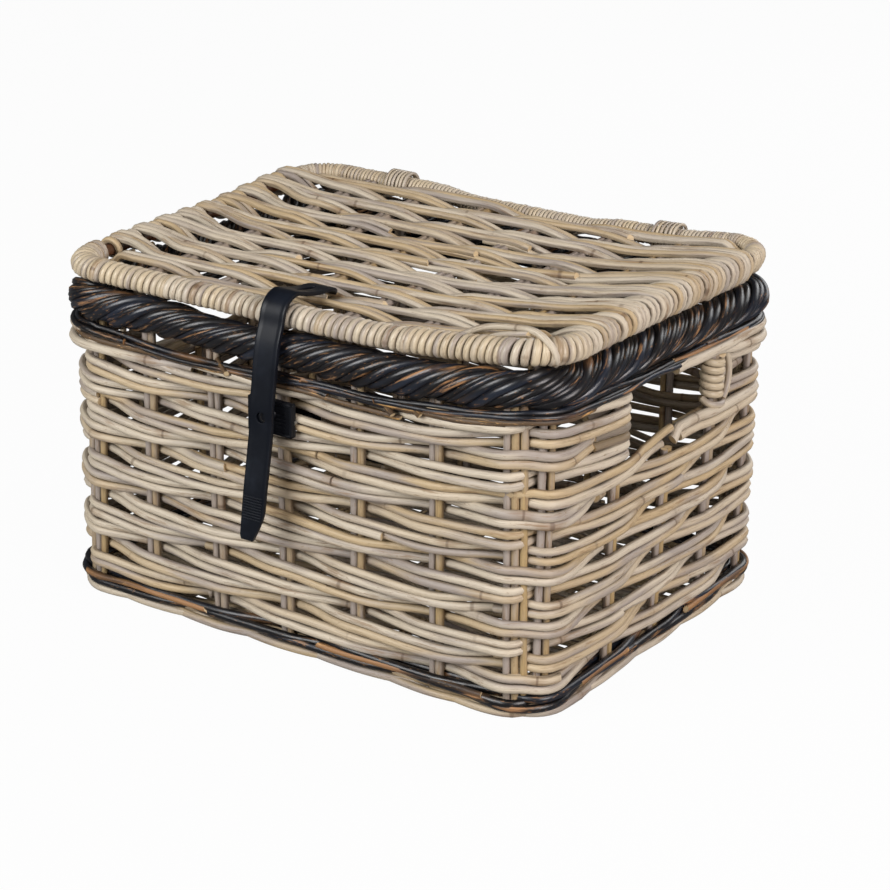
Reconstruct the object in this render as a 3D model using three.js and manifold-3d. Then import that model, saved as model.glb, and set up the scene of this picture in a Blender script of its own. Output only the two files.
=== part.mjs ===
// Rectangular lidded bicycle basket of woven rattan, with a rubber closing strap.
// Units are millimetres. +X is the long side, the strap is at -Y, the hinge at +Y, +Z is up.
// The origin is the middle of the underside.
import * as THREE from 'three';
import Module from 'manifold-3d';
import * as BufferGeometryUtils from 'three/addons/utils/BufferGeometryUtils.js';

const wasm = await Module();
wasm.setup();

// Woven wall
const wallHalfX = 226;
const wallHalfY = 176;
const wallThick = 19;
const wallCorner = 40;
const weaveRows = 14;
const weaveGroove = 1.4;

// Levels, from the floor up
const baseTop = 12;
const weaveBottom = 20;
const weaveTop = 213;
const rimBottom = 229.5;
const rimTop = 258.5;

// Flat woven bottom
const baseRows = 24;

// Stakes, each a pair of upright rods, spread evenly between the outermost ones of a side
const rodRadius = 3.1;
const rodSpread = 2.98;
const frontStakes = 7;
const frontEnd = 31;
const sideStakes = 5;
const sideEnd = 32;

// Dark bands below and above the weave
const lowBandRound = 1.5;
const upperBandRound = 2;

// Plaited rim, which stands out past the wall
const rimOverX = 7;
const rimOverY = 5;
const rimThick = 30;
const rimCorner = 33;
const rimStrands = 7;
const rimTurns = 13;
const rimLay = 0.09;
const rimStep = 15.5;

// Hand openings in the short sides, each between a stake and a wrapped post
const handleInset = 20;
const handleSill = 174;
const sillHeight = 14;
const sillHalf = 9;
const sillGroove = 0.7;
const postHalfX = 9;
const postWrap = 5.8;
const postTurns = 5;
const postGroove = 1.3;

// Lid, whose border lies over the middle of the rim
const lidInset = 1;
const lidBorder = 13.5;
const lidPole = 7;
const lidCorner = 45;
const lidCentreZ = 272.5;
const lidThick = 19;
const lidDip = 1.5;
const lidRows = 22;
const lidRibs = 6;
const ribPitch = 62;
const ribEnd = 2;
const wrapReturn = 6;
const wrapGroove = 0.9;
const sideTurns = 6;

// Hinge lashings: a loop round the lid's back border and a leg down the rim
const lashWidth = 26;
const lashX = 130;
const lashThick = 4.6;
const legThick = 4;
const legRoot = 10;
const legDrop = 8;

// Strap
const strapX = -6;
const strapWidth = 22;
const strapThick = 3;
const strapHoleZ = 195;
const strapHoleRadius = 4.2;
const strapHoleFlat = 6;
const strapEndZ = 112;
const strapFlare = 14;
const tongueReach = 51.5;
const tongueLength = 34;
const eyeReach = 24;
const eyeLength = 23;
const eyeWidth = 4.8;
const gripRibs = 5;
const gripPitch = 4;
const gripRadius = 0.9;
const gripInset = 2.5;
const gripFromEnd = 16;
const taperLength = 16;

// Closing plate, its peg, and what holds it from inside
const plateWidth = 45;
const plateHeight = 30;
const plateThick = 6;
const plateBorder = 3;
const plateRecess = 1.4;
const plateBars = 4;
const barPitch = 2.6;
const barHeight = 1.2;
const barInset = 5;
const barRise = 0.8;
const pegAbove = 4;
const pegRadius = 3.2;
const pegHeadRadius = 3.6;
const pegHead = 3;
const pegLength = 8.6;
const screwReach = 16;
const screwRadius = 1.8;
const screwHeadRadius = 3.6;
const screwHead = 2.4;
const screwTip = 1.5;
const backingThick = 3;

// How far a row's rounding reaches into it, as a share of the row
const rowEdge = 0.14;

// Clearances between neighbouring pieces
const gap = 0.3;
const loopGap = 0.4;
const hookGap = 0.7;
const screwGap = 0.5;

// Sizes that follow from those above
const wallMid = wallThick / 2;
const frontPitch = 2 * (wallHalfX - frontEnd) / (frontStakes - 1);
const sidePitch = 2 * (wallHalfY - sideEnd) / (sideStakes - 1);
const rimHalfX = wallHalfX + rimOverX;
const rimHalfY = wallHalfY + rimOverY;
const lidHalfX = wallHalfX - lidInset;
const lidHalfY = wallHalfY;
const aboveAll = 2 * lidCentreZ;

// Solids

function toSolid(geometry) {
  geometry.deleteAttribute('normal');
  geometry.deleteAttribute('uv');
  const merged = BufferGeometryUtils.mergeVertices(geometry, 1e-4);
  const solid = new wasm.Manifold(new wasm.Mesh({
    numProp: 3,
    vertProperties: new Float32Array(merged.attributes.position.array),
    triVerts: new Uint32Array(merged.index.array),
  }));
  return solid;
}

function toGeometry(solid) {
  const mesh = solid.getMesh();
  const geometry = new THREE.BufferGeometry();
  geometry.setAttribute('position', new THREE.BufferAttribute(new Float32Array(mesh.vertProperties), 3));
  geometry.setIndex(new THREE.BufferAttribute(new Uint32Array(mesh.triVerts), 1));
  return geometry;
}

function signedVolume(positions, triangles) {
  let total = 0;
  for (let t = 0; t < triangles.length; t += 3) {
    const [a, b, c] = [triangles[t], triangles[t + 1], triangles[t + 2]].map((i) => positions[i]);
    total += a.dot(new THREE.Vector3().crossVectors(b, c));
  }
  return total / 6;
}

// A skin over a row of loops with the same number of points, capped unless the row closes on itself.
function loft(loops, closed) {
  const count = loops[0].length;
  const positions = loops.flat();
  const triangles = [];
  const last = closed ? loops.length : loops.length - 1;
  for (let r = 0; r < last; r += 1) {
    const here = r * count;
    const next = ((r + 1) % loops.length) * count;
    for (let k = 0; k < count; k += 1) {
      const n = (k + 1) % count;
      triangles.push(here + k, here + n, next + n);
      triangles.push(here + k, next + n, next + k);
    }
  }
  if (!closed) {
    for (const end of [0, loops.length - 1]) {
      const loop = loops[end];
      const along = loops[end === 0 ? 1 : end - 1][0].clone().sub(loop[0]);
      const u = loop[1].clone().sub(loop[0]).normalize();
      const w = new THREE.Vector3().crossVectors(u, along).normalize();
      const v = new THREE.Vector3().crossVectors(w, u);
      const useV = Math.abs(v.dot(loop[Math.floor(count / 2)].clone().sub(loop[0])))
        > Math.abs(w.dot(loop[Math.floor(count / 2)].clone().sub(loop[0])));
      const second = useV ? v : w;
      const flat = loop.map((p) => new THREE.Vector2(p.dot(u), p.dot(second)));
      const order = loop.map((p, k) => k);
      const reverse = THREE.ShapeUtils.isClockWise(flat);
      if (reverse) {
        flat.reverse();
        order.reverse();
      }
      const faces = THREE.ShapeUtils.triangulateShape(flat, []);
      const flip = (end === 0) !== reverse;
      for (const f of faces) {
        const t = f.map((k) => end * count + order[k]);
        triangles.push(...(flip ? [t[0], t[2], t[1]] : t));
      }
    }
  }
  if (signedVolume(positions, triangles) < 0) {
    for (let t = 0; t < triangles.length; t += 3) {
      [triangles[t + 1], triangles[t + 2]] = [triangles[t + 2], triangles[t + 1]];
    }
  }
  const geometry = new THREE.BufferGeometry();
  geometry.setAttribute('position', new THREE.Float32BufferAttribute(
    positions.flatMap((p) => [p.x, p.y, p.z]), 3));
  geometry.setIndex(triangles);
  return geometry;
}

// An upright prism over a plan outline.
function upright(points, z0, z1) {
  const geometry = new THREE.ExtrudeGeometry(new THREE.Shape(points), {
    depth: z1 - z0, bevelEnabled: false, curveSegments: 1,
  });
  geometry.translate(0, 0, z0);
  return geometry;
}

function box(x0, x1, y0, y1, z0, z1) {
  const geometry = new THREE.BoxGeometry(x1 - x0, y1 - y0, z1 - z0);
  geometry.translate((x0 + x1) / 2, (y0 + y1) / 2, (z0 + z1) / 2);
  return geometry;
}

// A round bar along Y.
function barAlongY(radius, x, y0, y1, z, sides) {
  const geometry = new THREE.CylinderGeometry(radius, radius, y1 - y0, sides);
  geometry.translate(x, (y0 + y1) / 2, z);
  return geometry;
}

// A round bar along X.
function barAlongX(radius, x0, x1, y, z, sides) {
  const geometry = new THREE.CylinderGeometry(radius, radius, x1 - x0, sides);
  geometry.rotateZ(Math.PI / 2);
  geometry.translate((x0 + x1) / 2, y, z);
  return geometry;
}

// Plan paths

// Points round a rounded rectangle, counterclockwise from the middle of the +X side.
function ringPath(halfX, halfY, radius, cornerSteps, straightSteps) {
  const path = [];
  const corners = [
    [halfX - radius, halfY - radius, 0],
    [-halfX + radius, halfY - radius, 90],
    [-halfX + radius, -halfY + radius, 180],
    [halfX - radius, -halfY + radius, 270],
  ];
  corners.forEach(([cx, cy, start], index) => {
    for (let k = 0; k <= cornerSteps; k += 1) {
      const angle = THREE.MathUtils.degToRad(start + 90 * k / cornerSteps);
      path.push({ x: cx + radius * Math.cos(angle), y: cy + radius * Math.sin(angle), angle });
    }
    const [nx, ny, nextStart] = corners[(index + 1) % 4];
    const a = path[path.length - 1];
    const angle = THREE.MathUtils.degToRad(nextStart === 0 ? 360 : nextStart);
    const bx = nx + radius * Math.cos(angle);
    const by = ny + radius * Math.sin(angle);
    for (let k = 1; k < straightSteps; k += 1) {
      const t = k / straightSteps;
      path.push({ x: a.x + (bx - a.x) * t, y: a.y + (by - a.y) * t, angle });
    }
  });
  return path;
}

// The part of the path between two corners' ends, round the front or the back, as an open path.
function endPath(halfX, halfY, radius, sign, returnLength, cornerSteps, straightSteps) {
  const path = [];
  const put = (x, y, angle) => path.push({ x, y: sign * y, angle: sign * angle });
  put(-halfX, halfY - radius - returnLength, Math.PI);
  for (let k = 0; k <= cornerSteps; k += 1) {
    const angle = Math.PI - (Math.PI / 2) * (k / cornerSteps);
    put(-halfX + radius + radius * Math.cos(angle), halfY - radius + radius * Math.sin(angle), angle);
  }
  for (let k = 1; k < straightSteps; k += 1) {
    put((2 * k / straightSteps - 1) * (halfX - radius), halfY, Math.PI / 2);
  }
  for (let k = 0; k <= cornerSteps; k += 1) {
    const angle = Math.PI / 2 - (Math.PI / 2) * (k / cornerSteps);
    put(halfX - radius + radius * Math.cos(angle), halfY - radius + radius * Math.sin(angle), angle);
  }
  put(halfX, halfY - radius - returnLength, 0);
  return path;
}

// Loops of a section placed on every point of a path. The section gives [outward, up] points.
function sectionLoops(path, section) {
  return path.map((p, index) => section(index).map(([out, up]) => new THREE.Vector3(
    p.x + out * Math.cos(p.angle), p.y + out * Math.sin(p.angle), up)));
}

function circleSection(radius, z, sides) {
  const points = [];
  for (let k = 0; k < sides; k += 1) {
    const a = (2 * Math.PI * (k + 0.5)) / sides;
    points.push([radius * Math.cos(a), z + radius * Math.sin(a)]);
  }
  return points;
}

function roundedRectangle(halfX, halfY, radius, cornerSteps) {
  return ringPath(halfX, halfY, radius, cornerSteps, 1).map((p) => new THREE.Vector2(p.x, p.y));
}

// Stakes

// Outline of two rods side by side, with the touching line filled.
function pairOutline(radius, spread) {
  const points = [];
  for (const side of [1, -1]) {
    for (const degrees of [-120, -60, 0, 60, 120]) {
      const a = THREE.MathUtils.degToRad(degrees) + (side < 0 ? Math.PI : 0);
      points.push([side * spread + radius * Math.cos(a), radius * Math.sin(a)]);
    }
  }
  return points;
}

const cornerCentreX = wallHalfX - wallCorner;
const cornerCentreY = wallHalfY - wallCorner;
const stakeArc = wallCorner - wallMid;

// Place and heading of a stake: first along the long sides, then along the short sides.
function longSite(x, sign) {
  const beyond = Math.max(Math.abs(x) - cornerCentreX, 0);
  const turn = Math.asin(beyond / stakeArc);
  return {
    x,
    y: sign * (cornerCentreY + stakeArc * Math.cos(turn)),
    heading: -sign * Math.sign(x) * turn,
  };
}

function shortSite(y, sign) {
  const beyond = Math.max(Math.abs(y) - cornerCentreY, 0);
  const turn = Math.asin(beyond / stakeArc);
  return {
    x: sign * (cornerCentreX + stakeArc * Math.cos(turn)),
    y,
    heading: Math.PI / 2 - sign * Math.sign(y) * -turn,
  };
}

const stakes = [];
for (let k = 0; k < frontStakes; k += 1) {
  const x = (k - (frontStakes - 1) / 2) * frontPitch;
  stakes.push({ name: `stake_front_${k + 1}`, ...longSite(x, -1) });
  stakes.push({ name: `stake_back_${k + 1}`, ...longSite(x, 1) });
}
for (let k = 0; k < sideStakes; k += 1) {
  const y = (k - (sideStakes - 1) / 2) * sidePitch;
  const short = k === (sideStakes - 1) / 2;
  stakes.push({ name: `stake_right_${k + 1}`, ...shortSite(y, 1), short });
  stakes.push({ name: `stake_left_${k + 1}`, ...shortSite(y, -1), short });
}

function stakePlan(site, radius) {
  return pairOutline(radius, rodSpread).map(([u, v]) => new THREE.Vector2(
    site.x + u * Math.cos(site.heading) - v * Math.sin(site.heading),
    site.y + u * Math.sin(site.heading) + v * Math.cos(site.heading)));
}

const channels = stakes.map((site) => ({
  site, solid: toSolid(upright(stakePlan(site, rodRadius + gap), 0, rimTop)),
}));

function cutChannels(solid, test) {
  let result = solid;
  for (const channel of channels) {
    if (test(channel.site)) {
      result = result.subtract(channel.solid);
    }
  }
  return result;
}

const group = new THREE.Group();
group.name = 'bicycle_basket';

const materials = {
  rattan: new THREE.MeshStandardMaterial({ color: 0xb9a985, roughness: 0.75 }),
  stake: new THREE.MeshStandardMaterial({ color: 0xa79468, roughness: 0.75 }),
  dark: new THREE.MeshStandardMaterial({ color: 0x24242c, roughness: 0.6 }),
  pole: new THREE.MeshStandardMaterial({ color: 0x7a4a26, roughness: 0.7 }),
  rubber: new THREE.MeshStandardMaterial({ color: 0x1f2530, roughness: 0.5 }),
  plastic: new THREE.MeshStandardMaterial({ color: 0x1c1f26, roughness: 0.5 }),
  steel: new THREE.MeshStandardMaterial({ color: 0xa0a4a8, metalness: 0.9, roughness: 0.35 }),
};

function add(name, shape, material) {
  const geometry = shape.isBufferGeometry ? shape : toGeometry(shape);
  const mesh = new THREE.Mesh(geometry, material);
  mesh.name = name;
  group.add(mesh);
}

// Base: a flat ring under the walls and a flat woven bottom inside it

const ringOuter = roundedRectangle(wallHalfX, wallHalfY, wallCorner, 5);
const ringInner = roundedRectangle(
  wallHalfX - wallThick, wallHalfY - wallThick, wallCorner - wallThick, 5);

const frameShape = new THREE.Shape(ringOuter);
frameShape.holes.push(new THREE.Path(ringInner));
add('base_frame', new THREE.ExtrudeGeometry(frameShape, {
  depth: baseTop, bevelEnabled: false, curveSegments: 1,
}), materials.rattan);

// Outline of a flat weave of rods seen from their ends: [across, up] points, flat below,
// with grooves between the rows on top.
function wovenProfile(halfWidth, rows, z0, z1, groove) {
  const pitch = (2 * halfWidth) / rows;
  const top = [];
  for (let r = 0; r < rows; r += 1) {
    const a = -halfWidth + r * pitch;
    const edge = pitch * rowEdge;
    if (r > 0) {
      top.push([a, z1 - groove]);
    }
    top.push([a + edge, z1], [a + pitch - edge, z1]);
  }
  return [[-halfWidth, z0], [halfWidth, z0], [halfWidth, z1 - groove],
    ...top.reverse(), [-halfWidth, z1 - groove]];
}

// A prism along X over a [y, z] outline.
function alongX(profile, x0, x1) {
  return loft([x0, x1].map((x) => profile.map(([y, z]) => new THREE.Vector3(x, y, z))), false);
}

const floorHalfX = wallHalfX - wallThick - gap;
const floorHalfY = wallHalfY - wallThick - gap;
const floorPlan = upright(
  roundedRectangle(floorHalfX, floorHalfY, wallCorner - wallThick - gap, 5), 0, baseTop);
add('base_panel', toSolid(alongX(
  wovenProfile(wallHalfY - wallThick, baseRows, 0, baseTop - gap, weaveGroove),
  -wallHalfX, wallHalfX,
)).intersect(toSolid(floorPlan)), materials.rattan);

// Dark bands below and above the weave

function band(z0, z1, bulge) {
  const path = ringPath(wallHalfX - wallMid, wallHalfY - wallMid, stakeArc, 5, 1);
  const mid = (z0 + z1) / 2;
  const quarter = (z1 - z0) / 4;
  const section = [
    [-wallMid + bulge, z0], [wallMid - bulge, z0],
    [wallMid, mid - quarter], [wallMid, mid + quarter],
    [wallMid - bulge, z1], [-wallMid + bulge, z1],
    [-wallMid, mid + quarter], [-wallMid, mid - quarter],
  ];
  return toSolid(loft(sectionLoops(path, () => section), true));
}

add('low_band', cutChannels(
  band(baseTop + gap, weaveBottom - gap, lowBandRound), () => true), materials.dark);
add('upper_band', cutChannels(
  band(weaveTop + gap, rimBottom - gap, upperBandRound), (site) => !site.short), materials.dark);

// Stakes

const sillBottom = handleSill - sillHeight;
for (const site of stakes) {
  const top = site.short ? sillBottom : rimBottom - gap;
  add(site.name, upright(stakePlan(site, rodRadius), baseTop + gap, top), materials.stake);
}

// Woven walls

// [outward, up] outline of rows of rods lying on each other, with a groove between them on both faces.
function rowSection(half, rows, z0, z1, groove) {
  const pitch = (z1 - z0) / rows;
  const edge = pitch * rowEdge;
  const outer = [];
  const inner = [];
  for (let r = 0; r < rows; r += 1) {
    const z = z0 + r * pitch;
    if (r > 0) {
      outer.push([half - groove, z]);
      inner.push([-half + groove, z]);
    }
    outer.push([half, z + edge], [half, z + pitch - edge]);
    inner.push([-half, z + edge], [-half, z + pitch - edge]);
  }
  return [
    [-half + groove, z0], [half - groove, z0], ...outer,
    [half - groove, z1], [-half + groove, z1], ...inner.reverse(),
  ];
}

function wallSection() {
  return rowSection(wallMid, weaveRows, weaveBottom, weaveTop, weaveGroove);
}

function straightWall(x0, y0, x1, y1, angle) {
  const path = [{ x: x0, y: y0, angle }, { x: x1, y: y1, angle }];
  return toSolid(loft(sectionLoops(path, wallSection), false));
}

function cornerWall(signX, signY) {
  const path = [];
  const margin = gap / 2 / stakeArc;
  for (let k = 0; k <= 3; k += 1) {
    const turn = margin + (Math.PI / 2 - 2 * margin) * (k / 3);
    path.push({
      x: signX * (cornerCentreX + stakeArc * Math.cos(turn)),
      y: signY * (cornerCentreY + stakeArc * Math.sin(turn)),
      angle: Math.atan2(signY * Math.sin(turn), signX * Math.cos(turn)),
    });
  }
  return toSolid(loft(sectionLoops(path, wallSection), false));
}

const longEnd = cornerCentreX - gap / 2;
const shortEnd = cornerCentreY - gap / 2;
const frontY = wallHalfY - wallMid;
const sideX = wallHalfX - wallMid;
const screws = [strapX - screwReach, strapX + screwReach];
const plateZ = strapHoleZ - pegAbove;

let frontWall = cutChannels(
  straightWall(-longEnd, -frontY, longEnd, -frontY, -Math.PI / 2),
  (site) => site.y < 0 && Math.abs(site.x) < longEnd);
for (const x of screws) {
  frontWall = frontWall.subtract(
    toSolid(barAlongY(screwRadius + screwGap, x, -wallHalfY - 1, -wallHalfY + wallThick + 1, plateZ, 12)));
}
add('wall_front', frontWall, materials.rattan);
add('wall_back', cutChannels(
  straightWall(-longEnd, frontY, longEnd, frontY, Math.PI / 2),
  (site) => site.y > 0 && Math.abs(site.x) < longEnd), materials.rattan);

// The wrapped post stands at the far end of the right opening, seen from the front,
// and at the near end of the left one.
const postHalf = 2 * rodRadius + postWrap;
const sillSection = rowSection(sillHalf, 2, sillBottom + gap, handleSill, sillGroove);
for (const sign of [1, -1]) {
  const side = sign > 0 ? 'right' : 'left';
  const post = sign * sidePitch;
  const low = -sign * (sidePitch - handleInset);
  const notchEnds = [low, post + sign * (postHalf + gap)].sort((a, b) => a - b);
  const wall = cutChannels(
    straightWall(sign * sideX, -shortEnd, sign * sideX, shortEnd, sign > 0 ? 0 : Math.PI),
    (site) => sign * site.x > 0 && Math.abs(site.y) < shortEnd,
  ).subtract(toSolid(box(
    sign * sideX - wallThick, sign * sideX + wallThick,
    notchEnds[0], notchEnds[1], sillBottom, weaveTop + 1)));
  add(`wall_${side}`, wall, materials.rattan);

  // Sill: a pair of thick rods lying on the weave
  const sillEnds = [low + sign * gap, post - sign * (postHalf + gap)].sort((a, b) => a - b);
  const sillPath = sillEnds.map((y) => ({ x: sign * sideX, y, angle: 0 }));
  add(`handle_sill_${side}`, loft(sectionLoops(sillPath, () => sillSection), false), materials.rattan);

  // Turns of cane round the post
  const wrapBottom = sillBottom + gap;
  const wrapTop = weaveTop - gap;
  const loops = [];
  for (let t = 0; t <= postTurns * 2; t += 1) {
    const shrink = t % 2 === 0 ? postGroove : 0;
    const z = wrapBottom + (wrapTop - wrapBottom) * (t / (postTurns * 2));
    const loop = [];
    for (let k = 0; k < 16; k += 1) {
      const a = (2 * Math.PI * (k + 0.5)) / 16;
      loop.push(new THREE.Vector3(
        sign * sideX + (postHalfX - shrink) * Math.cos(a), post + (postHalf - shrink) * Math.sin(a), z));
    }
    loops.push(loop);
  }
  add(`handle_wrap_${side}`, cutChannels(
    toSolid(loft(loops, false)), (site) => site.name === `stake_${side}_${sign > 0 ? 4 : 2}`,
  ), materials.rattan);
}

for (const [name, signX, signY] of [
  ['front_left', -1, -1], ['front_right', 1, -1], ['back_left', -1, 1], ['back_right', 1, 1]]) {
  add(`wall_corner_${name}`, cutChannels(
    cornerWall(signX, signY),
    (site) => site.x * signX > longEnd && site.y * signY > shortEnd), materials.rattan);
}

// Rim: strands twisted round each other along a ring

const rimHeight = rimTop - rimBottom;
const rimCentreX = rimHalfX - rimThick / 2;
const rimCentreY = rimHalfY - rimThick / 2;
const rimZ = (rimBottom + rimTop) / 2;
const hingeY = lidHalfY - lidBorder;
const lashOuter = lidBorder + loopGap + lashThick;

const rimPath = ringPath(rimCentreX, rimCentreY, rimCorner, 4, 1).flatMap((p, k, path) => {
  const next = path[(k + 1) % path.length];
  const steps = Math.round(Math.hypot(next.x - p.x, next.y - p.y) / rimStep) || 1;
  return Array.from({ length: steps }, (unused, n) => ({
    x: p.x + (next.x - p.x) * (n / steps),
    y: p.y + (next.y - p.y) * (n / steps),
    angle: n > 0 ? Math.atan2(p.x - next.x, next.y - p.y) : p.angle,
  }));
});
let rimWalk = 0;
const rimSteps = rimPath.map((p, k) => {
  const next = rimPath[(k + 1) % rimPath.length];
  const here = rimWalk;
  rimWalk += Math.hypot(next.x - p.x, next.y - p.y);
  return here;
});

// A ridge and a groove for each strand, turned a little further at every step along the rim.
function rimSection(index) {
  const turn = 2 * Math.PI * rimTurns * (rimSteps[index] / rimWalk);
  const points = [];
  for (let k = 0; k < 2 * rimStrands; k += 1) {
    const a = turn + (Math.PI * k) / rimStrands;
    const swell = k % 2 === 0 ? 1 : 1 - rimLay;
    points.push([(rimThick / 2) * swell * Math.cos(a), rimZ + (rimHeight / 2) * swell * Math.sin(a)]);
  }
  return points;
}
let rim = toSolid(loft(sectionLoops(rimPath, rimSection), true));
for (const sign of [1, -1]) {
  const reach = lashWidth / 2 + loopGap;
  rim = rim.subtract(toSolid(barAlongX(
    lashOuter + loopGap, sign * lashX - reach, sign * lashX + reach, hingeY, lidCentreZ, 24)));
}
add('rim', rim, materials.dark);

// Lid: a pole frame, a weave that turns round it at the short sides, and wrapped long sides

const poleX = lidHalfX - lidBorder;
const poleY = lidHalfY - lidBorder;
const poleCorner = lidCorner - lidBorder;
const sideWrapEnd = poleY - poleCorner - wrapReturn;

add('lid_pole', loft(sectionLoops(
  ringPath(poleX, poleY, poleCorner, 4, 1), () => circleSection(lidPole, lidCentreZ, 10)), true),
materials.pole);

const poleBore = toSolid(loft(sectionLoops(
  ringPath(poleX, poleY, poleCorner, 4, 1),
  () => circleSection(lidPole + gap, lidCentreZ, 10)), true));

for (const [name, sign] of [['front', -1], ['back', 1]]) {
  const path = endPath(poleX, poleY, poleCorner, sign, wrapReturn - gap, 4, 22);
  const rings = sectionLoops(path, (index) => circleSection(
    lidBorder - (index % 2 === 0 ? wrapGroove : 0), lidCentreZ, 10));
  add(`lid_wrap_${name}`, toSolid(loft(rings, false)).subtract(poleBore), materials.rattan);
}

const panelHalfX = poleX - lidBorder - gap;
const panelHalfY = poleY - lidBorder - gap;
const panelBottom = lidCentreZ - lidThick / 2;
const panelTop = lidCentreZ + lidThick / 2;
const ribHalf = rodSpread + rodRadius;
const ribX = Array.from({ length: lidRibs }, (unused, k) => (k - (lidRibs - 1) / 2) * ribPitch);

// Section of the weave at an x: rows that lie over the ribs there, under them, or level.
function panelLoop(x, sideOf) {
  const pitch = (2 * panelHalfY) / lidRows;
  const top = (side) => (side < 0 ? -lidDip : lidThick / 2);
  const upper = [];
  const lower = [];
  for (let row = -1; row <= lidRows; row += 1) {
    const y = Math.max(-panelHalfY, Math.min(panelHalfY, -panelHalfY + (row + 0.5) * pitch));
    upper.push([y, top(sideOf(row))]);
    lower.push([y, -top(-sideOf(row))]);
  }
  return [...upper, ...lower.reverse()].map(([y, z]) => new THREE.Vector3(x, y, lidCentreZ + z));
}

// A row goes under one rib and over the next two, each row one rib further on than the row before it.
const panelLoops = [
  panelLoop(-poleX, () => 0),
  ...ribX.map((x, rib) => panelLoop(x, (row) => ((row - rib + 3 * lidRibs) % 3 === 0 ? -1 : 1))),
  panelLoop(poleX, () => 0),
];
const panelPlan = toSolid(upright(
  roundedRectangle(panelHalfX, panelHalfY, poleCorner - lidBorder, 4), 0, aboveAll));
const tongue = toSolid(box(-poleX, poleX, -sideWrapEnd, sideWrapEnd, 0, aboveAll));
let weave = toSolid(loft(panelLoops, false)).intersect(panelPlan.add(tongue));
for (const sign of [1, -1]) {
  const loops = [];
  for (let k = 0; k <= 2 * sideTurns; k += 1) {
    const y = -sideWrapEnd + sideWrapEnd * (k / sideTurns);
    const radius = lidBorder - (k % 2 === 0 ? wrapGroove : 0);
    loops.push(circleSection(radius, 0, 10).map(([u, v]) => new THREE.Vector3(
      sign * poleX + u, y, lidCentreZ + v)));
  }
  weave = weave.add(toSolid(loft(loops, false)));
}
weave = weave.subtract(poleBore);

// Outline of a rib pair seen from its end, [x, z].
function ribLoops(x, radius, reach) {
  return [-reach, reach].map((y) => pairOutline(radius, rodSpread).map(
    ([u, v]) => new THREE.Vector3(x + u, y, lidCentreZ + v)));
}
ribX.forEach((x, k) => {
  weave = weave.subtract(toSolid(box(
    x - ribHalf - gap, x + ribHalf + gap, -panelHalfY - ribEnd, panelHalfY + ribEnd,
    lidCentreZ - rodRadius - gap, lidCentreZ + rodRadius + gap)));
  add(`lid_rib_${k + 1}`, loft(ribLoops(x, rodRadius, panelHalfY), false), materials.stake);
});
for (const sign of [1, -1]) {
  const reach = lashWidth / 2 + loopGap;
  weave = weave.subtract(toSolid(box(
    sign * lashX - reach, sign * lashX + reach,
    hingeY - lashOuter - 2 * loopGap, hingeY, panelBottom - 1, panelTop + 1)));
}
add('lid_weave', weave, materials.rattan);

// Hinge lashings: loops round the lid's back border, each with a leg down the back of the rim

const legFront = rimHalfY + gap;
for (const [name, sign] of [['right', 1], ['left', -1]]) {
  const x0 = sign * lashX - lashWidth / 2;
  const x1 = sign * lashX + lashWidth / 2;
  const loop = toSolid(barAlongX(lashOuter, x0, x1, hingeY, lidCentreZ, 24))
    .add(toSolid(box(
      x0, x1, legFront - lashThick, legFront + legThick, lidCentreZ - legRoot, lidCentreZ)))
    .add(toSolid(box(x0, x1, legFront, legFront + legThick, rimZ - legDrop, lidCentreZ)))
    .subtract(toSolid(barAlongX(lidBorder + loopGap, x0 - 1, x1 + 1, hingeY, lidCentreZ, 24)));
  add(`hinge_loop_${name}`, loop, materials.rattan);
}

// Closing plate with its peg, and the plate and screws that hold it from inside

const plateFront = -wallHalfY - gap - plateThick;
const plateX = [strapX - plateWidth / 2, strapX + plateWidth / 2];
const plateSpan = [plateZ - plateHeight / 2, plateZ + plateHeight / 2];
const pegFront = plateFront - pegLength;
let plate = toSolid(box(
  plateX[0], plateX[1], plateFront, -wallHalfY - gap, plateSpan[0], plateSpan[1]));
plate = plate.subtract(toSolid(box(
  plateX[0] + plateBorder, plateX[1] - plateBorder, plateFront - 1, plateFront + plateRecess,
  plateSpan[0] + plateBorder, plateSpan[1] - plateBorder)));
for (let k = 0; k < plateBars; k += 1) {
  const z = plateSpan[0] + 2 * plateBorder + k * barPitch;
  plate = plate.add(toSolid(box(
    plateX[0] + plateBorder + barInset, plateX[1] - plateBorder - barInset,
    plateFront + plateRecess - barRise, plateFront + 2 * plateRecess, z, z + barHeight)));
}
plate = plate
  .add(toSolid(barAlongY(pegRadius, strapX, pegFront + 1, plateFront + 2 * plateRecess, strapHoleZ, 16)))
  .add(toSolid(barAlongY(pegHeadRadius, strapX, pegFront, pegFront + pegHead, strapHoleZ, 16)));
const innerFace = -wallHalfY + wallThick;
const backing = [innerFace + gap, innerFace + gap + backingThick];
const screwStart = plateFront + plateThick / 2;
let counter = toSolid(box(
  plateX[0], plateX[1], backing[0], backing[1], plateSpan[0], plateSpan[1]));
screws.forEach((x, index) => {
  plate = plate.subtract(toSolid(barAlongY(
    screwRadius + gap, x, screwStart - gap, innerFace, plateZ, 12)));
  counter = counter.subtract(toSolid(barAlongY(
    screwRadius + screwGap, x, backing[0] - 1, backing[1] + 1, plateZ, 12)));
  const head = backing[1] + gap;
  const screw = toSolid(barAlongY(screwRadius, x, screwStart, backing[1] + screwTip, plateZ, 12))
    .add(toSolid(barAlongY(screwHeadRadius, x, head, head + screwHead, plateZ, 16)));
  add(`plate_screw_${index + 1}`, screw, materials.steel);
});
add('knob_plate', plate, materials.plastic);
add('backing_plate', counter, materials.plastic);

// Strap: the upper part lies over the lid border, the lower part hangs in front of the peg

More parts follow.
